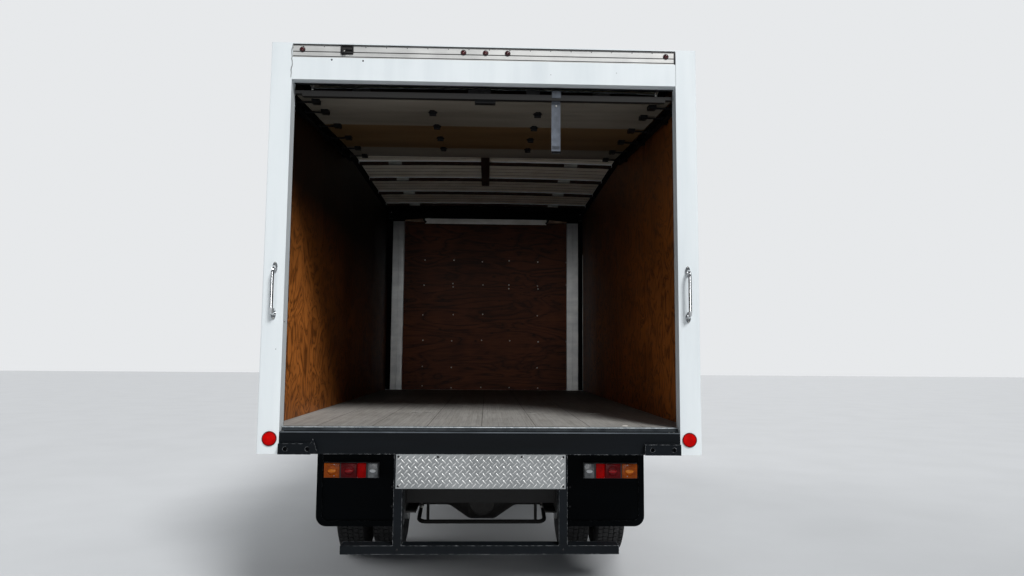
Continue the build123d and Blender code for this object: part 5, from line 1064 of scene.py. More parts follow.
    def header_seal(self) -> None:
        """Rubber seal under the header, which the closed door meets."""
        piece = Piece("header_seal", "black_plastic")
        half, low, high = OPENING_HALF - 2, self.rail_low - 132.5, self.rail_low - 129.2
        piece.add(block((-half, -3254, low), (half, FRAME_Y - 1, high), 1.2), SEAL_RUBBER)
        piece.done()

    def handle_screws(self) -> None:
        """Two screws in each foot of the grab handles."""
        piece = Piece("handle_screws", "chrome")
        xs, face = (-self.handle_x, self.handle_x), REAR_Y - 5.5
        spots = [(x, face, z + d) for x in xs for z in self.handle_feet for d in (-9, 9)]
        piece.heads(spots, BACK, 5, 3, BOLT_ZINC, 12)
        piece.done()

    def build(self) -> None:
        """Builds every piece of the rear frame."""
        self.lamp_rail()
        self.markers()
        self.plate_bracket()
        self.seams()
        self.sill()
        self.reflectors()
        self.header_seal()
        self.handle_screws()


@dataclass
class TailLamps:
    """Flat three-colour lamps on the black panels, and the diamond plate between them."""

    rear_y: float = -2687.0
    front_y: float = -2653.0
    low: float = 699.0
    high: float = 789.0
    housing_y: float = -2667.0
    bulb_z: float = 742.0
    plate_half: float = 463.0
    plate_low: float = 740.0
    plate_high: float = 924.0
    lug_pitch: float = 37.0

    def lamps(self) -> None:
        """Housings, bright backs, the four lenses of each lamp and bright spots over the bulbs as painted
        highlights.
        """
        piece = Piece("tail_lamps", "lamp_red")
        rear, back, low, high = self.rear_y, self.housing_y, self.low, self.high
        piece.add(block((643, back, low - 4), (987, self.front_y - 0.2, high + 4), 2), BLACK_PLASTIC, BOTH)
        piece.add(block((649, back - 4, low), (982, back, high), 0.5), MIRROR, BOTH)
        for start, end, lens in (
            (648, 711, REVERSE_LENS), (722, 776.5, REFLEX_RED), (777.5, 879, RED_LENS), (886, 983, AMBER_LENS)
        ):
            piece.add(block((start, rear, low), (end, back - 3.5, high), 4, 3), lens, BOTH)
        for start, end in ((709, 724), (876, 889)):
            rib = block((start, rear + 3, low + 0.5), (end, back - 2, high - 0.5), 1)
            piece.add(rib, BLACK_PLASTIC, BOTH)
        bowl = [(0, 0), (12, 1.5), (26, 4), (30, 5.5), (32, 4), (32, 0)]
        for x, lens in ((828, RED_LENS), (934.5, AMBER_LENS)):
            piece.add(turned(bowl, (x, rear + 3.5, self.bulb_z + 2), BACK, 24), lens, BOTH)
        # Bright spots over the bulbs: painted highlights
        for x, half, bulb_highlight in ((828, 27, RED_PAINTED_HIGHLIGHT), (934.5, 27, AMBER_PAINTED_HIGHLIGHT), (680, 20, CLEAR_PAINTED_HIGHLIGHT)):
            spot = Matrix.Translation((x, rear + 0.4, self.bulb_z)) @ Matrix.Diagonal((half, 2.4, 11, 1))
            piece.add(dome((0, 0, 0), BACK, 1, 1, 20), bulb_highlight, [side @ spot for side in BOTH])
        for z in (712, 781):
            piece.add(dome((920, rear, z), BACK, 4, 2, 10), BOLT_ZINC, BOTH)
        piece.done("rear_lamps")

    def panel_fixings(self) -> None:
        """Bolts along the top and the inner edge of the black panels."""
        piece = Piece("panel_bolts", "frame_black")
        for x, z in ((575, 872), (690, 872), (810, 872), (930, 872), (560, 640), (560, 520)):
            piece.add(dome((x, self.front_y, z), BACK, 8, 5, 10), SCREW_BLACK, BOTH)
        piece.done()

    def lugs(self) -> None:
        """Raised lugs of the diamond plate, two ways in turn, and its dark screws."""
        piece = Piece("diamond_lugs", "chequer")
        step, front = self.lug_pitch / 2, REAR_Y - 0.2
        lug = bmesh.new()
        form = Matrix.Diagonal((15.5, 2.0, 3.6, 1.0))
        bmesh.ops.create_uvsphere(lug, u_segments=8, v_segments=6, radius=1.0, matrix=form)
        places: list[Matrix] = []
        columns = int((self.plate_half - 14) // step)
        for i in range(-columns, columns + 1):
            for j in range(9):
                z = self.plate_low + 17 + j * step
                if (i + j) % 2 == 0 and z < self.plate_high - 12:
                    turn = Matrix.Rotation(math.radians(45 if (j % 2) else -45), 4, "Y")
                    places.append(Matrix.Translation((i * step, front, z)) @ turn)
        piece.add(lug, DIAMOND_LUG, places)
        low, high = self.plate_low + 13, self.plate_high - 13
        screws = [(-450, low), (-450, high), (450, low), (450, high), (-235, high), (222, high)]
        piece.heads([(x, front, z) for x, z in screws], BACK, 6.5, 4, SCREW_BLACK, 10)
        piece.done()

    def guard_fixings(self) -> None:
        """Bolts where the guard's posts meet the frame and the bar."""
        piece = Piece("guard_bolts", "frame_black")
        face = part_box("underrun_guard")[0].y * 1000
        for z in (640, 700):
            piece.add(peg((473, -3180, z), 9, 9), BOLT_ZINC, BOTH)
        piece.add(dome((450, face + 2, 415), BACK, 8, 4, 10), SCREW_BLACK, BOTH)
        piece.done()

    def build(self) -> None:
        """Builds the lamps, the plate's lugs and their fixings."""
        self.lamps()
        self.panel_fixings()
        self.lugs()
        self.guard_fixings()


@dataclass
class RollDoor:
    """Small parts of the roll-up door: lock, cables, hinge screws and the pull strap."""

    slope: float = math.radians(5.0)
    edge_y: float = -3268.0
    edge_z: float = 2952.0
    pitch: float = 390.0
    hinge_xs: tuple[float, ...] = (-1000.0, -330.0, 330.0, 1000.0)
    middle_reach: float = 500.0

    def on_panel(self, along: float, drop: float) -> tuple[float, float]:
        """Place on the door's inner face.

        Args:
            along: distance from the door's lower edge.
            drop: distance below the face.
        Returns:
            Its y and z.
        """
        c, s = math.cos(self.slope), math.sin(self.slope)
        return self.edge_y + along * c + drop * s, self.edge_z + along * s - drop * c

    def lock(self) -> None:
        """Lock case and keeper on the bottom rail, clamps on the cable ends, screws of the shaft's plates."""
        piece = Piece("door_lock", "galvanised")
        piece.add(block((-100, -3262, 2966), (33, -3244, 3002), 3), DOOR_ZINC_SHADED)
        piece.add(block((-60, -3268, 2976), (-5, -3260, 2992), 2), DOOR_ZINC_SHADED)
        piece.add(block((237, -3262, 2970), (318, -3246, 3000), 3), DOOR_ZINC_SHADED)
        piece.add(rod((-33, -3270, 2984), (-33, -3262, 2984), 9), TRACK_STEEL_SHADED)
        for y, z, half in ((-3215.5, 2996, 5.5), (-3211.18, 3012, 4.5)):
            clamp = block((1003 - half, y - half, z - 5), (1003 + half, y + half, z + 5), 1.5)
            piece.add(clamp, BOLT_ZINC, BOTH)
        for x in (-1063, 0, 1063):
            plate = [(x + dx, FRAME_Y + 4, 3100 + dz) for dx in (-21, 21) for dz in (-40, 40)]
            piece.heads(plate, AHEAD, 6, 3.5, BOLT_ZINC)
        piece.done()

    def screws(self) -> None:
        """Pointed leaves of the middle hinges, and screw heads round every hinge."""
        piece = Piece("hinge_screws", "galvanised")
        leaf = [(-29, 0), (-12, -56), (12, -56), (29, 0), (12, 56), (-12, 56)]
        tilt = Matrix.Rotation(self.slope, 4, "X")
        spots, leaves = [], []
        for row in range(1, 5):
            hinge = row * self.pitch - 1
            for x in self.hinge_xs:
                middle = abs(x) < self.middle_reach
                spread, drop = (1, 5.4) if middle else (2, 24.0)
                if middle:
                    leaves.append(Matrix.Translation((x, *self.on_panel(hinge, 5.2))) @ tilt)
                for dx, along in ((-6, -30), (6, -22), (-6, 22), (6, 30)):
                    spots.append((x + dx * spread, *self.on_panel(hinge + along, drop)))
        piece.heads(spots, (0, math.sin(self.slope), -math.cos(self.slope)), 4.5, 2, SCREW_BLACK)
        piece.add(prism(leaf, Grain.UPRIGHT, 0, 5, 0.8), DOOR_ZINC_SHADED, leaves)
        piece.done()

    def strap(self) -> None:
        """Webbing pull strap with its rivet, its end over the bottom rail and its dark lower end."""
        low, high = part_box("pull_strap")
        x0, x1 = low.x * 1000, high.x * 1000
        y, bottom, top = (low.y + high.y) * 500, low.z * 1000, high.z * 1000
        width, length, middle = x1 - x0, top - bottom, (x0 + x1) / 2
        sheet = bmesh.new()
        stand = Matrix.Translation((middle, y, (bottom + top) / 2)) @ Matrix.Rotation(math.pi / 2, 4, "X")
        place = stand @ Matrix.Diagonal((width, length, 1, 1))
        bmesh.ops.create_grid(sheet, x_segments=6, y_segments=24, size=0.5, matrix=place)
        for v in sheet.verts:
            share = (top - v.co.z) / length
            v.co.y += 1.2 * math.sin(share * math.pi * 1.4) * share
        bmesh.ops.solidify(sheet, geom=sheet.faces[:], thickness=2.4)
        strap = Piece("pull_strap_webbing", "webbing")
        strap.add(sheet, WEBBING)
        hung = strap.done("pull_strap")
        trim = Piece("pull_strap_trim", "black_plastic")
        end = block((x0 - 0.6, y - 4.6, bottom + 0.3), (x1 + 0.6, y + 3.4, bottom + 13), 1.2)
        trim.add(end, BLACK_BOARD_AND_SHADE)
        rail = [self.on_panel(*spot) for spot in ((-0.3, -1), (-0.3, -42), (-2.7, -42), (-2.7, -1))]
        trim.add(prism(rail, Grain.ACROSS, x0, x1, 0.4), WEBBING)
        trim.add(dome((middle + 1, y - 1.0, top - 28), BACK, 6, 3, 12), BOLT_ZINC)
        for z in (bottom + 26 + step * 5 for step in range(4)):
            trim.add(block((x0 + 5, y - 2.2, z), (x1 - 5, y - 1.0, z + 1.2)), SEAL_RUBBER)
        end = trim.done()

    def build(self) -> None:
        """Builds the door's small parts."""
        self.lock()
        self.screws()
        self.strap()


@dataclass
class CargoInterior:
    """Plywood lining, roof fittings and floor plates inside the box."""

    sheet_gap: float = 1.6
    lining_top: float = 3210.0
    lining: float = 4.0
    crown: float = 16.0
    skin: float = 5.0
    bow_pitch: float = 610.0
    bow_depth: float = 28.0
    bow_half: float = 22.5
    roof_half: float = 1146.0
    roof_end: float = 1505.0
    joint_pitch: float = 122.0
    joint_end: float = 1100.0
    highlight_xs: tuple[int, int] = (-822, 772)
    highlight_reach: float = 60.0
    screw_xs: tuple[int, ...] = (-741, -389, -38, 290, 634, 985)
    screw_zs: tuple[int, ...] = (1103, 1340, 1650, 1962, 2294, 2326, 2617)

    def side_lining(self) -> None:
        """Four upright plywood sheets on each side wall, with their screws."""
        span = (INSIDE_Y - FRAME_Y) / 4
        for side, name in SIDES:
            piece = Piece(f"lining_{name}", "deck_wood")
            inner, wall = side * (HALF_INSIDE - self.lining), side * (HALF_INSIDE - 0.1)
            for i in range(4):
                y0, y1 = FRAME_Y + i * span + self.sheet_gap, FRAME_Y + (i + 1) * span - self.sheet_gap
                sheet = block((inner, y0, FLOOR_Z + 1), (wall, y1, self.lining_top), 0.8, 1)
                piece.add(sheet, LINING_SHADED if side < 0 else LINING)
                ys = (y0 + 20, (y0 + y1) / 2, y1 - 20)
                spots = [(inner, y, z) for y in ys for z in range(1140, 3140, 400)]
                piece.heads(spots, (-side, 0, 0), 4, 1.2, SCREW_BLACK)
            piece.done()

    def bulkhead_lining(self) -> None:
        """Plywood sheet on the front wall with rows of white screw heads."""
        piece = Piece("bulkhead_lining", "deck_wood")
        face, wall, foot = INSIDE_Y - 6, INSIDE_Y - 0.1, FLOOR_Z + 1
        piece.add(block((-980, face, foot), (980, wall, 3089), 0.8, 1), BULKHEAD_PLY)
        # Near-black boards beside the posts and above the rail: painted shade
        piece.add(block((1120, face, foot), (1179, wall, 3124)), BLACK_BOARD_AND_SHADE, BOTH)
        piece.add(block((-1179, face, 3126), (1179, wall, 3196)), BLACK_BOARD_AND_SHADE)
        rand = random.Random(11)
        spots = [
            (x + rand.uniform(-9, 9), face, z + rand.uniform(-12, 12))
            for x in self.screw_xs for z in self.screw_zs if rand.random() > 0.12
        ]
        piece.heads(spots, BACK, 7.5, 2, SCREW_WHITE)
        piece.done()

    def bulkhead_rail(self) -> None:
        """Cover of the top rail, wedges and hooks at its ends, and folded edges of the corner posts."""
        low, high = (corner * 1000 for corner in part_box("bulkhead_frame"))
        top, face = high.z, low.y
        piece = Piece("bulkhead_rail_cover", "aluminium")
        piece.add(block((-735, face - 1.8, top - 64), (731, face - 0.1, top - 2), 0.6), RAIL_COVER)
        wedge = ((742, -46), (768, -4), (980, -24), (980, -34))
        hook = ((730, -62), (716, -40), (745, -18), (764, -24), (744, -44))
        for side, _ in SIDES:
            # Near-black board beside each end of the rail cover: painted shade
            board = block((side * 741, face - 0.9, top - 40), (side * 1121, face - 0.1, top + 1))
            piece.add(board, BLACK_BOARD_AND_SHADE)
            ends = ((wedge, 2.0, 0.8, 0.4, RAIL_WEDGE), (hook, 5, 1.6, 0.5, SCREW_BLACK))
            for shape, out, back, bevel, finish in ends:
                outline = [(side * x, top + z) for x, z in shape]
                piece.add(prism(outline, Grain.ALONG, face - out, face - back, bevel), finish)
            for x in (984, 1050, 1116):
                foot = (side * (x - 3), face + 6, FLOOR_Z + 6)
                piece.add(block(foot, (side * (x + 3), face + 12.2, top - 42), 1.0), POST_SHEET)
        piece.add(block((1172, 1466, FLOOR_Z + 2), (1180.5, 1476, 2700), 1), BRIGHT_SHEET)
        piece.done()

    def crowned(self, half: float, middle: float, thick: float, start: float, end: float) -> Mesh:
        """A strip under the roof that follows its crown.

        Args:
            half: half of its width.
            middle: height of its upper face in the middle.
            thick: its thickness.
            start: its rear edge.
            end: its front edge.
        Returns:
            The strip.
        """
        xs = [half * (i / 10 - 1) for i in range(21)]
        upper = [(x, middle - self.crown * (x / HALF_BOX) ** 2) for x in xs]
        return prism(upper + [(x, z - thick) for x, z in reversed(upper)], Grain.ALONG, start, end)

    def roof_sheets(self) -> None:
        """Roof sheets between the bows, their joints, and a near-black cove along each side as painted shade.
        """
        piece = Piece("roof_joints", "white_paint")
        inner = BOX_TOP_Z - self.skin + 0.2
        for n in range(8):
            bow = FRAME_Y + self.bow_pitch * n
            start = bow + (25 if n else 2)
            end = min(FRAME_Y + self.bow_pitch * (n + 1) - 25, self.roof_end)
            piece.add(self.crowned(self.roof_half, inner, 1.4, start, end), ROOF_SHEET)
            for y in (bow + self.joint_pitch * k for k in range(1, 5)):
                if y < self.joint_end:
                    piece.add(self.crowned(1140, inner, 2.4, y - 3, y + 3), SEAL_RUBBER)
        # Near-black cove under the roof's edge: painted shade
        cove = [
            (1178.8, 3171.6), (1150.8, 3210.8), (1150.8, 3217), (1149.2, 3217), (1149.2, 3209.8),
            (1177.2, 3170.6),
        ]
        for side, _ in SIDES:
            outline = [(side * x, z) for x, z in cove]
            piece.add(prism(outline, Grain.ALONG, FRAME_Y + 4, self.roof_end), BLACK_BOARD_AND_SHADE)
        piece.done()

    def roof_bows(self) -> None:
        """Strips on the bows, dark as stain and painted shade, pale plates on them as painted highlights, the
        centre board, and the black board as painted shade.
        """
        strips, plates = Piece("bow_strips", "deck_wood"), Piece("bow_highlight_plates", "galvanised")
        under = BOX_TOP_Z - self.skin - self.bow_depth
        for n in range(1, 8):
            y = FRAME_Y + self.bow_pitch * n
            back, front = y - self.bow_half, y + self.bow_half
            # A thin strip under each bow and a deep one on its rear face: stain and painted shade
            for middle, thick, end in ((under + 0.2, 2.4, front), (under + 20, 20.4, back - 0.1)):
                strips.add(self.crowned(self.roof_half, middle, thick, back - 1.2, end), BOW_STAIN_AND_SHADE)
            # Pale plates at the same places on each bow: painted highlights
            for x in self.highlight_xs:
                z = under - self.crown * (x / HALF_BOX) ** 2 - 2
                corner, right = (x - self.highlight_reach, back - 2.6, z - 1.8), x + self.highlight_reach
                plates.add(block(corner, (right, front, z - 0.2), 0.4), BOW_PAINTED_HIGHLIGHT)
                plates.add(block(corner, (right, back - 1.1, z + 19), 0.4), BOW_PAINTED_HIGHLIGHT)
                plates.add(dome((x, y, z - 1), DOWN, 6, 3, 8), BOLT_ZINC)
        strips.done()
        plates.done()
        board = Piece("roof_centre_board", "deck_wood")
        board.add(block((-44, -1190, under - 9), (32, 12, under - 2), 1), ROOF_BOARD)
        # Near-black board under the front of the roof: painted shade
        board.add(block((-1140, 1096, under - 8), (1140, 1507, under - 2), 1), BLACK_BOARD_AND_SHADE)
        board.done()

    def floor_plates(self) -> None:
        """Four small bright plates let into the floor, and a stud near the opening."""
        piece = Piece("floor_plates", "galvanised")
        for x, half in ((-466, 26), (-363, 42), (331, 38), (771, 52)):
            low, high = (x - half, -2216, FLOOR_Z - 0.5), (x + half, -2190, FLOOR_Z + 1.6)
            piece.add(block(low, high, 0.8), BOLT_ZINC)
            piece.add(dome((x, -2203, FLOOR_Z + 1.5), UP, 5, 1.5, 8), SCREW_BLACK)
        piece.add(dome((819, -3162, FLOOR_Z), UP, 19, 5, 16), SCREW_WHITE)
        piece.done()

    def build(self) -> None:
        """Builds the lining and the fittings."""
        self.side_lining()
        self.bulkhead_lining()
        self.bulkhead_rail()
        self.roof_sheets()
        self.roof_bows()
        self.floor_plates()


@dataclass
class BoxOutside:
    """Riveted outside of the box: posts, rails, seams and side lamps."""

    post_pitch: float = 406.4
    first_post: float = FRAME_Y + 90
    rivet_pitch: int = 88

    def rails(self) -> None:
        """Top and bottom rail extrusions along both sides."""
        piece = Piece("side_rails", "aluminium")
        top = ((0, 3128), (2.5, 3130), (2.5, 3160), (1, 3164), (2.5, 3168), (2.5, 3214), (0, 3218))
        for rail in (top, ((0, 930), (2.5, 932), (2.5, 1006), (0, 1010))):
            edge = [(HALF_BOX + x, z) for x, z in rail]
            piece.add(prism(edge, Grain.ALONG, FRAME_Y + 2, BOX_FRONT_Y - 60), RAIL_ALUMINIUM, BOTH)
        piece.done()

    def rivets(self) -> None:
        """Rivets up each post and along the rails."""
        piece = Piece("side_rivets", "white_paint")
        posts = [self.first_post + self.post_pitch * i for i in range(12)]
        wall = [(HALF_BOX, y, z) for y in posts for z in range(1050, 3110, self.rivet_pitch)]
        run = range(int(FRAME_Y) + 40, int(BOX_FRONT_Y) - 70, 100)
        rail = [(HALF_BOX + 2.4, y, z) for y in run for z in (948, 990, 3146)]
        for spots, finish in ((wall, BOX_ENAMEL), (rail, BOLT_ZINC)):
            places = [side @ place for side in BOTH for place in moved(*spots)]
            piece.add(dome((0, 0, 0), (1, 0, 0), 5.5, 2.2, 6), finish, places)
        xs = (-813, -406, 0, 406, 813)
        front = [(x, BOX_FRONT_Y - 0.2, z) for x in xs for z in range(1000, 3110, 100)]
        piece.heads(front, AHEAD, 5.5, 2.2, BOX_ENAMEL, 6)
        piece.done()

    def seams(self) -> None:
        """Panel joints: a thin covered strip each 1219 mm."""
        piece = Piece("panel_seams", "white_paint")
        for y in (self.first_post + i * 3 * self.post_pitch for i in range(1, 4)):
            strip = block((HALF_BOX - 0.2, y - 16, 1012), (HALF_BOX + 1.2, y + 16, 3126), 0.5, 1)
            piece.add(strip, BOX_ENAMEL, BOTH)
        piece.done()

    def side_lamps(self) -> None:
        """Amber and red side markers on the bottom rail, and five amber lamps over the front."""
        piece = Piece("side_markers", "lamp_red")
        x = HALF_BOX
        for y, lens in ((-3120, RED_LENS), (-870, AMBER_LENS), (1420, AMBER_LENS)):
            piece.add(block((x + 2.3, y - 42, 952), (x + 5, y + 42, 988), 1.2), BLACK_PLASTIC, BOTH)
            piece.add(block((x + 4.5, y - 36, 956), (x + 13, y + 36, 984), 3, 3), lens, BOTH)
        for x in (-1120, -150, 0, 150, 1120):
            low, high = (x - 32, BOX_FRONT_Y - 0.2, 3170), (x + 32, BOX_FRONT_Y + 14, 3196)
            piece.add(block(low, high, 4, 3), AMBER_LENS)
        piece.done()

    def build(self) -> None:
        """Builds the outside of the box."""
        self.rails()
        self.rivets()
        self.seams()
        self.side_lamps()


@dataclass
class Wheels:
    """Treaded tyres, wheel nuts, caps and valves."""

    tread_r: float = 385.0
    blocks: int = 60
    front_x: float = 832.5
    rear_xs: tuple[float, float] = (685.0, 944.0)
    front_disc: float = 966.5
    rear_disc: float = 819.0
    front_ring: float = 78.0
    rear_ring: float = 92.0
    hub_ring: float = 48.0
    shoulder: float = 60.0

    def tyre(self, piece: Piece, x: float, y: float) -> None:
        """Adds one tyre: carcass with rim guard, and five rows of tread blocks.

        Args:
            piece: the piece that gets it.
            x: middle of the tyre across the truck.
            y: the axle line.
        """
        side = [
            (206.3, 66), (212, 74), (224, 84), (230, 92), (236, 92.5), (240, 90), (262, 101), (285, 107.5),
            (300, 108.6), (312, 108.6), (316, 107), (335, 105), (350, 101.5), (361, 98), (369, 94), (374, 88),
        ]
        profile = [(r, -w) for r, w in side] + [(r, w) for r, w in reversed(side)]
        place = (x, y, AXLE_Z)
        piece.add(turned(profile + profile[:1], place, (1, 0, 0), 72), TYRE_RUBBER)
        pitch = 2 * math.pi / self.blocks
        width = self.tread_r * pitch
        for across, wide, shift, high, skew in (
            (-78, 27, 0.0, 382.0, 0), (-38.5, 31, 0.5, 384.0, 14), (0, 27, 0.0, 384.0, 0),
            (38.5, 31, 0.5, 384.0, -14), (78, 27, 0.0, 382.0, 0),
        ):
            gap, low = (11, 366) if abs(across) > self.shoulder else (7, 370)
            run = (width - gap) / 2
            knob = block((across - wide / 2, -run, low), (across + wide / 2, run, high))
            rounded(knob, 2.0, 1, [e for e in knob.edges if all(v.co.z > low + 1 for v in e.verts)])
            slant = Matrix.Rotation(math.radians(skew), 4, "Z")
            steps = [Matrix.Rotation((i + shift) * pitch, 4, "X") for i in range(self.blocks)]
            piece.add(knob, TYRE_RUBBER, [Matrix.Translation(place) @ step @ slant for step in steps])

    def nuts(self, piece: Piece, face: float, side: int, y: float, ring: float) -> None:
        """Adds six studs with nuts and a valve to a wheel.

        Args:
            piece: the piece that gets them.
            face: the disc's outer face across the truck.
            side: 1 on the right, -1 on the left.
            y: the axle line.
            ring: radius of the ring of nuts.
        """
        for i in range(6):
            a = math.pi / 3 * i + 0.3
            at = (y + ring * math.cos(a), AXLE_Z + ring * math.sin(a))
            for start, end, *size in ((0, 4, 17, 15, 16), (4, 17, 14.5, None, 6), (17, 25, 8, 7, 12)):
                piece.add(peg((face + side * start, *at), side * (end - start), *size), BOLT_ZINC)
        c, s = math.cos(0.93), math.sin(0.93)
        valve = ((-14, 160), (2, 150), (18, 148), (34, 147))
        stem = [(face + side * d, y + r * c, AXLE_Z + r * s) for d, r in valve]
        piece.add(pipe(stem, 4), BLACK_PLASTIC)

    def build(self) -> None:
        """Builds the tyres and the fittings of all six wheels."""
        for side, name in SIDES:
            front = Piece(f"treaded_tyre_front_{name}", "tyre", f"wheel_front_{name}")
            self.tyre(front, side * self.front_x, FRONT_AXLE_Y)
            front.done(f"tyre_front_{name}")
            rear = Piece(f"treaded_tyres_rear_{name}", "tyre", f"wheels_rear_{name}")
            for x in self.rear_xs:
                self.tyre(rear, side * x, REAR_AXLE_Y)
            rear.done(f"tyres_rear_{name}")
            nuts = Piece(f"wheel_nuts_front_{name}", "chrome", f"wheel_front_{name}")
            self.nuts(nuts, side * self.front_disc, side, FRONT_AXLE_Y, self.front_ring)
            nuts.add(dome((side * 981, FRONT_AXLE_Y, AXLE_Z), (side, 0, 0), 44, 14, 24), CHROME)
            nuts.done()
            hub = Piece(f"wheel_nuts_rear_{name}", "chrome", f"wheels_rear_{name}")
            self.nuts(hub, side * self.rear_disc, side, REAR_AXLE_Y, self.rear_ring)
            for a in (math.pi / 4 * i for i in range(8)):
                at = (REAR_AXLE_Y + self.hub_ring * math.cos(a), AXLE_Z + self.hub_ring * math.sin(a))
                hub.add(peg((side * 927, *at), side * 9, 8), BOLT_ZINC)
            cap = [(0, 12), (26, 11), (34, 6), (36, 0)]
            hub.add(turned(cap, (side * 927.5, REAR_AXLE_Y, AXLE_Z), (side, 0, 0), 24), AXLE_IRON)
            hub.done()


@dataclass
class Underbody:
    """Bolts, U-bolts, straps and pipes under the truck."""

    bolt_ys: tuple[int, ...] = (
        -3120, -2950, -2250, -2190, -950, -890, -300, 300, 360, 1300, 1360, 1700, 2700, 2960
    )
    band_ys: tuple[int, ...] = (677, 1137)
    leg: float = 42.0
    main_pipe: tuple[Point, ...] = (
        (-432, 2500, 700), (-432, 1200, 706), (-432, 0, 702), (-432, -1200, 700), (-428, -1500, 690)
    )
    axle_pipe: tuple[Point, ...] = (
        (-420, -1560, 449), (-250, -1570, 450), (-110, -1540, 545), (0, -1520, 560), (110, -1540, 545),
        (250, -1570, 450), (420, -1560, 449),
    )

    def rail_bolts(self) -> None:
        """Pairs of bolts on the outer webs of the frame rails."""
        piece = Piece("rail_bolts", "frame_black")
        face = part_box("frame_rail_right")[1].x * 1000
        for y in self.bolt_ys:
            for z in (640, 760):
                piece.add(peg((face - 0.5, y, z), 9.5, 9), BOLT_ZINC, BOTH)
        piece.done()

    def u_bolts(self) -> None:
        """U-bolts that clamp the springs to both axles."""
        piece = Piece("u_bolts", "spring_steel")
        leg = self.leg
        for x, axle, low, high in ((500, REAR_AXLE_Y, 306, 556), (392, FRONT_AXLE_Y, 296, 412)):
            rise = [(-leg, low), (-leg, high - 30), (-leg, high), (-leg / 2, high + 2)]
            for y in (axle - 48, axle + 48):
                loop = [(x + dx, y, z) for dx, z in rise + [(-dx, z) for dx, z in reversed(rise)]]
                piece.add(pipe(loop, 8, sides=2), SPRING_STEEL, BOTH)
                for dx in (-leg, leg):
                    nut = rod((x + dx, y, low + 4), (x + dx, y, low + 20), 13, sides=6)
                    piece.add(nut, BOLT_ZINC, BOTH)
            piece.add(block((x - 58, axle - 66, low + 20), (x + 58, axle + 66, low + 32), 3), AXLE_IRON, BOTH)
        piece.done()

    def tank_bolts(self) -> None:
        """Long bolts that draw the tank's two bands tight, and the vent beside its cap."""
        piece = Piece("tank_bolts", "frame_black")
        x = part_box("fuel_tank")[0].x * 1000
        for y in self.band_ys:
            ear = block((x - 1, y - 16, 560), (x + 14, y + 16, 578), 2)
            piece.add(ear, FRAME_BLACK, moved((-13, 0, 0), (-13, 0, 70)))
            piece.add(rod((x - 8, y, 548), (x - 8, y, 668), 5, sides=10), BOLT_ZINC)
            piece.add(rod((x - 8, y, 548), (x - 8, y, 560), 9, sides=6), BOLT_ZINC)
        piece.add(rod((-560, 1225, 759), (-560, 1225, 790), 9, 7, 12), BOLT_ZINC)
        piece.done()

    def brake_lines(self) -> None:
        """Brake pipe along the left rail and over the rear axle."""
        piece = Piece("brake_pipes", "galvanised")
        for line in (self.main_pipe, self.axle_pipe):
            piece.add(pipe(line, 4, sides=1), BOLT_ZINC)
        piece.done()

    def build(self) -> None:
        """Builds the fittings under the truck."""
        self.rail_bolts()
        self.u_bolts()
        self.tank_bolts()
        self.brake_lines()


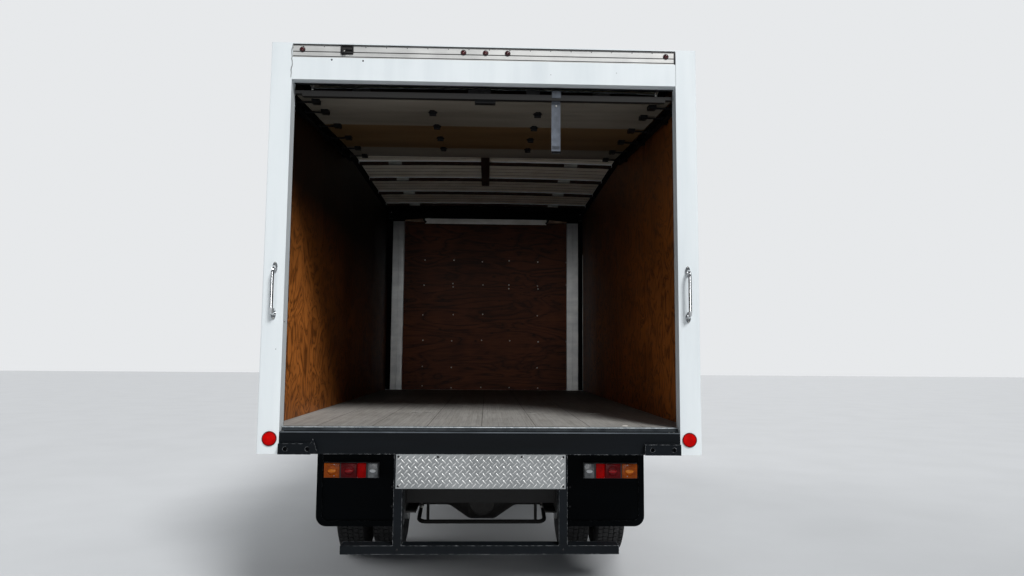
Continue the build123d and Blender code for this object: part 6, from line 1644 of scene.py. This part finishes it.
@dataclass
class Cab:
    """Trim of the cab: seals, wipers, lamps, handles, seats and instruments."""

    driver_x: float = -480.0
    bench: tuple[float, float] = (0.0, 860.0)
    seat_y: float = 1739.0
    screen: tuple[tuple[float, float], ...] = ((-858, 1467), (858, 1467), (808, 2113), (-808, 2113))
    pane: tuple[tuple[float, float], ...] = ((2179, 1462), (2179, 2068), (2822, 2068), (3008, 1462))
    lamp_z: float = 908.0
    far: float = 5000.0

    def __post_init__(self) -> None:
        """Reads the cab's skin."""
        self.skin = Skin("cab_front", "cab_roof", "cab_back", "cab_floor", "cab_glass", "cab_grille")

    def before(self, x: float, z: float, lift: float) -> Vector:
        """Point over the cab's front face, by a lift along the face's direction out."""
        spot, out = self.skin.touch((x, self.far, z), BACK)
        return spot + out * lift

    def loop(self, corners: Flat, radius: float) -> list[Vector]:
        """Points round a window with rounded corners.

        Args:
            corners: the window's corners in its plane.
            radius: the corners' rounding.
        Returns:
            The points.
        """
        points: list[Vector] = []
        ring = [Vector(c) for c in corners]
        for last, corner, after in zip(ring[-1:] + ring, ring, ring[1:] + ring[:1]):
            first = corner + (last - corner).normalized() * radius
            end = corner + (after - corner).normalized() * radius
            for t in (0.0, 0.33, 0.67, 1.0):
                points.append(first * (1 - t) ** 2 + corner * 2 * t * (1 - t) + end * t ** 2)
            reach = (after - corner).length - 2 * radius
            count = max(int(reach // 60), 1)
            points += [end + (after - corner).normalized() * reach * k / count for k in range(1, count)]
        return points

    def windscreen(self) -> None:
        """Seal and two wipers of the windscreen."""
        piece = Piece("windscreen_seal", "black_plastic", "cab")
        line = [self.before(p.x, p.y, 13 * 0.25) for p in self.loop(self.screen, 98)]
        piece.add(pipe(line, 13, True, 2), SEAL_RUBBER)
        for x, tip in ((-560, 60), (160, 780)):
            piece.add(rod(self.before(x, 1440, -4), self.before(x, 1440, 26), 16, 13), BLACK_PLASTIC)
            rise = ((0.0, 22), (0.3, 26), (0.6, 20), (0.92, 12))
            arm = [self.before(x + (tip - x) * share, 1440 + 130 * share, lift) for share, lift in rise]
            piece.add(pipe(arm, 5, sides=1), BLACK_PLASTIC)
            shares = (0.0, 0.25, 0.5, 0.75, 1.0)
            blade = [self.before(tip - 320 + 420 * share, 1520 + 66 * share, 7) for share in shares]
            piece.add(pipe(blade, 5.5, sides=1), SEAL_RUBBER)
        piece.done()

    def door_trim(self, side: int, name: str) -> None:
        """Window seal, handle, lock and inner trim of one door.

        Args:
            side: 1 on the right, -1 on the left.
            name: left or right.
        """
        skin = Skin(f"door_{name}", f"door_glass_{name}")
        piece = Piece(f"door_trim_{name}", "black_plastic", f"door_{name}")
        inward = (-side, 0, 0)
        touched = [skin.touch((side * 3000, p.x, p.y), inward) for p in self.loop(self.pane, 48)]
        piece.add(pipe([spot + out * (9 * 0.25) for spot, out in touched], 9, True, 2), SEAL_RUBBER)
        x = skin.touch((side * 3000, 2235, 1385), inward)[0].x
        piece.add(block((x - side * 1, 2160, 1358), (x + side * 4, 2312, 1412), 1.5), BLACK_PLASTIC)
        piece.add(block((x + side * 4, 2172, 1372), (x + side * 18, 2300, 1400), 5, 3), BLACK_PLASTIC)
        piece.add(peg((x, 2330, 1378), side * 5, 11, sides=16), CHROME)
        x = Skin(f"door_{name}").touch((0, 2500, 1250), (side, 0, 0))[0].x
        piece.add(block((x + side * 1, 2200, 1225), (x - side * 58, 2700, 1262), 12, 3), TRIM_PLASTIC)
        piece.add(block((x + side * 1, 2180, 960), (x - side * 12, 2900, 1210), 5), TRIM_PLASTIC)
        piece.add(peg((x, 2760, 1320), -side * 20, 26, 20, 16), BLACK_PLASTIC)
        crank = [(x - side * d, y, z) for d, y, z in ((20, 2760, 1320), (28, 2720, 1290), (30, 2680, 1262))]
        piece.add(pipe(crank, 6), BLACK_PLASTIC)
        piece.done()

    def lamps(self) -> None:
        """Headlamps with bowls and clear lenses, and indicators beside them."""
        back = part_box("front_lamps")[0].y * 1000
        piece = Piece("headlamps", "lamp_clear", "cab")
        piece.add(block((563, back, 833), (877, back + 10, 982), 3), BLACK_PLASTIC, BOTH)
        bowl = [(0, 3), (16, 4), (34, 9), (50, 17), (60, 26), (64, 27), (64, 0)]
        for x in (632, 752):
            piece.add(turned(bowl, (x, back + 1, self.lamp_z), AHEAD, 32), MIRROR, BOTH)
            piece.add(dome((x, back + 6, self.lamp_z), AHEAD, 12, 12, 12), CLEAR_LENS, BOTH)
        piece.add(block((566, back + 29, 836), (816, back + 35, 979), 2.8, 3), CLEAR_LENS, BOTH)
        piece.add(block((820, back + 8, 836), (874, back + 35, 979), 5, 3), AMBER_LENS, BOTH)
        piece.done("front_lamps")

    def markers(self) -> None:
        """Five amber lamps on the roof and one at each side of the cab."""
        piece = Piece("cab_markers", "lamp_clear", "cab")
        for x in (-700, -140, 0, 140, 700):
            z = self.skin.touch((x, 2700, 4000), DOWN)[0].z
            piece.add(block((x - 45, 2655, z - 3), (x + 45, 2735, z + 6), 2), BLACK_PLASTIC)
            piece.add(block((x - 36, 2665, z + 4), (x + 36, 2725, z + 26), 9, 3), AMBER_LENS)
        for side, _ in SIDES:
            x = self.skin.touch((side * 3000, 3190, 1240), (-side, 0, 0))[0].x
            piece.add(block((x - side * 2, 3150, 1220), (x + side * 14, 3228, 1260), 4, 3), AMBER_LENS)
        piece.done()

    def grille(self) -> None:
        """Fine mesh behind the grille's bars."""
        piece = Piece("grille_mesh", "black_plastic", "cab")
        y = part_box("cab_grille")[0].y * 1000 + 1.5
        for x in range(-555, 562, 18):
            piece.add(block((x - 1.2, y - 1, 1014), (x + 1.2, y + 1.5, 1176)), SCREW_BLACK)
        for z in (1022 + i * 16.5 for i in range(10)):
            piece.add(block((-556, y - 0.6, z - 1.2), (556, y + 1.9, z + 1.2)), SCREW_BLACK)
        piece.done()

    def mirrors(self) -> None:
        """Silvered glass in the mirror heads."""
        skin = Skin("mirrors")
        piece = Piece("mirror_glass", "chrome", "cab")
        for side, _ in SIDES:
            around = ((-60, -140), (60, -140), (60, 140), (-60, 140))
            spots = [(side * (1150 + dx), 2000, 1680 + dz) for dx, dz in around]
            corners = [skin.touch(spot, AHEAD)[0] + Vector((0, -1.6, 0)) for spot in spots]
            piece.add(pushed(bmesh.new(), corners, (0, 1.8, 0)), MIRROR)
        piece.done()

    def steps(self) -> None:
        """Raised bars on the steps."""
        piece = Piece("step_treads", "chequer", "cab")
        for y in range(2810, 3180, 26):
            piece.add(block((800, y - 4, 589.6), (965, y + 4, 593.5), 1.2, 1), DIAMOND_PLATE, BOTH)
        piece.done()

    def floor_mat(self) -> None:
        """Ribbed rubber mat on the cab floor."""
        piece = Piece("floor_mat", "black_plastic", "cab")
        piece.add(block((-930, 2330, 905), (930, 2960, 910), 2), SEAL_RUBBER)
        for x in range(-910, 911, 52):
            piece.add(block((x - 4, 2345, 909.5), (x + 4, 2945, 913), 1.2, 1), SEAL_RUBBER)
        piece.done()

    def dashboard(self, piece: Piece) -> None:
        """Adds the dials with their marks and needles, and the air vents.

        Args:
            piece: the piece that gets them.
        """
        skin = Skin("dashboard")
        for x, r in ((self.driver_x - 82, 52), (self.driver_x + 60, 52), (self.driver_x - 10, 24)):
            spot, out = skin.touch((x, 2300, 1392), AHEAD)
            rim = [(0, 2), (r - 4, 2), (r - 4, 6), (r, 6), (r + 2, -2)]
            piece.add(turned(rim, spot, out, 32), DIAL_FACE)
            turns = [Matrix.Rotation(math.radians(-30 + i * 30), 4, "Z") for i in range(9)]
            marks = [facing(out, spot) @ turn for turn in turns]
            piece.add(block((r * 0.7, -1, 2), (r * 0.85, 1, 2.8)), DIAL_MARK, marks)
            needle = [facing(out, spot) @ Matrix.Rotation(2.4, 4, "Z")]
            piece.add(block((-2, -1.2, 2), (r * 0.62, 1.2, 3.2)), DIAL_MARK, needle)
        for x in (-830, -90, 300, 800):
            spot, out = skin.touch((x, 2300, 1380), AHEAD)
            slats = [facing(out, (0, spot.y, spot.z - 20 + k * 10)) for k in range(5)]
            piece.add(block((x - 50, -1.5, -1), (x + 50, 1.5, 5)), BLACK_PLASTIC, slats)

    def instruments(self) -> None:
        """Dials, vents, stalks, gear lever and pedals."""
        piece = Piece("instruments", "interior_grey", "cab")
        self.dashboard(piece)
        for side, _ in SIDES:
            run = ((20, 2880, 1330), (90, 2868, 1338), (150, 2850, 1348))
            piece.add(pipe([(self.driver_x + side * dx, y, z) for dx, y, z in run], 6), BLACK_PLASTIC)
        lever = [(-60, 2560, 906), (-60, 2570, 1020), (-66, 2550, 1130), (-70, 2530, 1180)]
        piece.add(pipe(lever, 9), SCREW_BLACK)
        piece.add(dome((-70, 2528, 1176), UP, 24, 34, 16), BLACK_PLASTIC)
        boot = [(62, 0), (60, 8), (30, 50), (14, 70), (0, 72)]
        piece.add(turned(boot, (-60, 2560, 905), UP, 20), SEAL_RUBBER)
        for x in (-610, -500, -400):
            piece.add(block((x - 32, 2990, 985), (x + 32, 3002, 1050), 4), SEAL_RUBBER)
            piece.add(pipe([(x, 3000, 1018), (x, 3060, 1040), (x, 3100, 1110)], 7), SCREW_BLACK)
        piece.done()

    def cushion(self, name: str, outline: Flat, low: float, high: float) -> None:
        """A seat cushion: an outline pushed across, stuffed by a short cloth simulation.

        Args:
            name: the piece's name.
            outline: its side outline as y and z.
            low: its left end.
            high: its right end.
        """
        piece = Piece(name, "seat_fabric", "cab")
        piece.add(rounded(prism(outline, Grain.ACROSS, low + 9, high - 9), 22, 3), SEAT_CLOTH)
        made = piece.done()
        bpy.context.view_layer.objects.active = made
        remesh = made.modifiers.new("even", "REMESH")
        remesh.mode = "VOXEL"
        remesh.voxel_size = 0.0095
        self.apply(made)
        start = [v.co.copy() for v in made.data.vertices]
        cloth = made.modifiers.new("stuffing", "CLOTH")
        cloth.settings.use_pressure = True
        cloth.settings.uniform_pressure_force = 4.0
        cloth.settings.effector_weights.gravity = 0.0
        cloth.settings.quality = 4
        cloth.settings.tension_stiffness = 12
        for number in range(1, 15):
            bpy.context.scene.frame_set(number)
        self.apply(made)
        bpy.context.scene.frame_set(1)
        cap = 0.011
        for v, was in zip(made.data.vertices, start):
            step = v.co - was
            v.co = was + (step if step.length < cap else step.normalized() * cap)
        self.seams(made, low, high)
        smooth = made.modifiers.new("soft", "SUBSURF")
        smooth.levels = smooth.render_levels = 1
        self.apply(made)
        for face in made.data.polygons:
            face.use_smooth = True

    def seams(self, cushion: bpy.types.Object, low: float, high: float) -> None:
        """Presses sewn channels across a cushion.

        Args:
            cushion: the stuffed cushion.
            low: its left end.
            high: its right end.
        """
        width = high - low
        pitch = width / (5 if width < 600 else 8)
        normals = [v.normal.copy() for v in cushion.data.vertices]
        for v, out in zip(cushion.data.vertices, normals):
            x = v.co.x * 1000 - low
            near = abs((x + pitch / 2) % pitch - pitch / 2)
            if near < 14 and pitch * 0.5 < x < width - pitch * 0.5:
                v.co -= out * 0.005 * (1 - near / 14)

    def apply(self, made: bpy.types.Object) -> None:
        """Turns a piece's modifiers into its mesh.

        Args:
            made: the piece.
        """
        graph = bpy.context.evaluated_depsgraph_get()
        graph.update()
        mesh = bpy.data.meshes.new_from_object(made.evaluated_get(graph))
        old = made.data
        made.modifiers.clear()
        made.data = mesh
        bpy.data.meshes.remove(old)

    def seats(self) -> None:
        """Seat boxes with belt buckles, cushions and backrests."""
        y = self.seat_y
        boxes = Piece("seat_boxes", "interior_grey", "cab")
        rows = (("driver", self.driver_x - 260, self.driver_x + 260), ("bench", *self.bench))
        for _, low, high in rows:
            boxes.add(block((low + 20, y + 60, 905), (high - 20, y + 560, 1134), 10), TRIM_PLASTIC)
            boxes.add(block((low + 8, y + 44, 1128), (high - 8, y + 596, 1142), 4), BLACK_PLASTIC)
            boxes.add(rod((high - 40, y + 150, 1265), (high - 44, y + 170, 1330), 9), BLACK_PLASTIC)
            boxes.add(block((high - 60, y + 160, 1318), (high - 28, y + 184, 1372), 5), BLACK_PLASTIC)
        boxes.done("seats")
        sit = ((48, 1143), (600, 1143), (604, 1235), (560, 1256), (48, 1258))
        back = ((44, 1272), (178, 1272), (160, 1440), (112, 1856), (10, 1858))
        for name, low, high in rows:
            for part, shape, inset in (("cushion", sit, 0), ("backrest", back, 12)):
                outline = [(y + dy, z) for dy, z in shape]
                self.cushion(f"{name}_{part}", outline, low + inset, high - inset)

    def belts(self) -> None:
        """Shoulder belts that lie on the backrests."""
        piece = Piece("seat_belts", "webbing", "cab")
        skin = Skin("seats")
        for start, end in ((-705, -540), (840, 620)):
            bm = bmesh.new()
            rows = []
            for share in (i / 8 for i in range(9)):
                spot, out = skin.touch((start + (end - start) * share, 2900, 1840 - 540 * share), BACK)
                rows.append([bm.verts.new(spot + out * 7 + Vector((dx, 0, 0))) for dx in (-24, 24)])
            for a, b in zip(rows, rows[1:]):
                bm.faces.new((a[0], a[1], b[1], b[0]))
            bmesh.ops.solidify(bm, geom=bm.faces[:], thickness=2.0)
            bmesh.ops.recalc_face_normals(bm, faces=bm.faces)
            piece.add(bm, SEAL_RUBBER)
        piece.done()

    def build(self) -> None:
        """Builds the cab's trim."""
        self.windscreen()
        for side, name in SIDES:
            self.door_trim(side, name)
        self.lamps()
        self.markers()
        self.grille()
        self.mirrors()
        self.steps()
        self.instruments()
        self.floor_mat()
        self.seats()
        self.belts()


@dataclass
class Studio:
    """Camera of the photograph, pale floor and soft light."""

    eye: tuple[float, float, float] = (24.5, -7456.1, 1451.7)
    yaw: float = -1.896
    pitch: float = 5.352
    roll: float = -0.42
    focal_px: float = 745.1
    width_px: float = 1024.0
    sensor_mm: float = 36.0

    def camera(self) -> None:
        """Sets the camera where the photographer stood."""
        yaw, pitch, roll = (math.radians(a) for a in (self.yaw, self.pitch, self.roll))
        right = Vector((math.cos(yaw), math.sin(yaw), 0))
        ahead = Vector((-math.sin(yaw) * math.cos(pitch), math.cos(yaw) * math.cos(pitch), math.sin(pitch)))
        down = ahead.cross(right)
        level = right * math.cos(roll) + down * math.sin(roll)
        below = down * math.cos(roll) - right * math.sin(roll)
        turn = Matrix((level, -below, -ahead)).transposed().to_4x4()
        data = bpy.data.cameras.new("camera")
        data.sensor_width = self.sensor_mm
        data.lens = self.focal_px * self.sensor_mm / self.width_px
        data.clip_end = 200.0
        camera = bpy.data.objects.new("camera", data)
        camera.matrix_world = Matrix.Translation(Vector(self.eye) * MM) @ turn
        bpy.context.scene.collection.objects.link(camera)
        bpy.context.scene.camera = camera

    def floor(self) -> None:
        """Lays a wide pale floor, plain concrete seen as almost white."""
        mesh = bpy.data.meshes.new("floor")
        bm = bmesh.new()
        bmesh.ops.create_grid(bm, x_segments=1, y_segments=1, size=60.0)
        bm.to_mesh(mesh)
        bm.free()
        floor = bpy.data.objects.new("floor", mesh)
        concrete = Finish("pale_studio_floor", "B9BBBD", "B5B7B9", 0.85, grain_mm=900, depth_mm=0.0)
        mesh.materials.append(concrete.material())
        bpy.context.scene.collection.objects.link(floor)

    def light(self) -> None:
        """Hangs the sun lamps, and a pale world that shows almost white behind the truck."""
        for name, direction, power, angle in (
            ("key", (-0.5, 1.0, -1.14), 2.85, 17.0), ("low sky", (0.02, 1.0, -0.03), 0.3, 12.0),
            ("left fill", (0.9, -0.35, -0.6), 1.4, 50.0), ("front fill", (-0.35, -1.0, -0.6), 1.4, 50.0),
        ):
            data = bpy.data.lights.new(name, "SUN")
            data.energy = power
            data.angle = math.radians(angle)
            lamp = bpy.data.objects.new(name, data)
            lamp.rotation_mode = "QUATERNION"
            lamp.rotation_quaternion = Vector(direction).to_track_quat("-Z", "Y")
            bpy.context.scene.collection.objects.link(lamp)
        world = bpy.data.worlds.new("studio")
        world.use_nodes = True
        g = Graph(world.node_tree)
        lit = g.add("Background", {"Color": "DCE4EE", "Strength": 0.17}).outputs[0]
        seen = g.add("Background", {"Color": "F2F4F6", "Strength": 0.9}).outputs[0]
        rays = g.add("LightPath").outputs
        first = g.math("MAXIMUM", rays["Is Camera Ray"], rays["Is Transmission Ray"])
        mixed = g.add("MixShader", {0: first, 1: lit, 2: seen}).outputs[0]
        g.add("OutputWorld", {"Surface": mixed})
        bpy.context.scene.world = world
        bpy.context.scene.view_settings.view_transform = "Standard"

    def build(self) -> None:
        """Builds camera, floor and light."""
        self.camera()
        self.floor()
        self.light()


def dress_frame() -> None:
    """Gives every CAD node its finish."""
    for finish, names in WORN_BY.items():
        for name in names.split():
            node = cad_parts[name]
            for spot in node.material_slots:
                spot.material = finish.material()
            if not node.material_slots:
                node.data.materials.append(finish.material())
            LOG.info("%s wears %s", name, finish.name)


def main() -> None:
    """Builds the studio, the finishes and every sub-assembly in order."""
    logging.basicConfig(level=logging.INFO, format="%(message)s")
    Studio().build()
    dress_frame()
    for kind in (RearFrame, TailLamps, RollDoor, CargoInterior, BoxOutside, Wheels, Underbody, Cab):
        LOG.info("building %s", kind.__name__)
        kind().build()


if __name__ == "__main__":
    main()
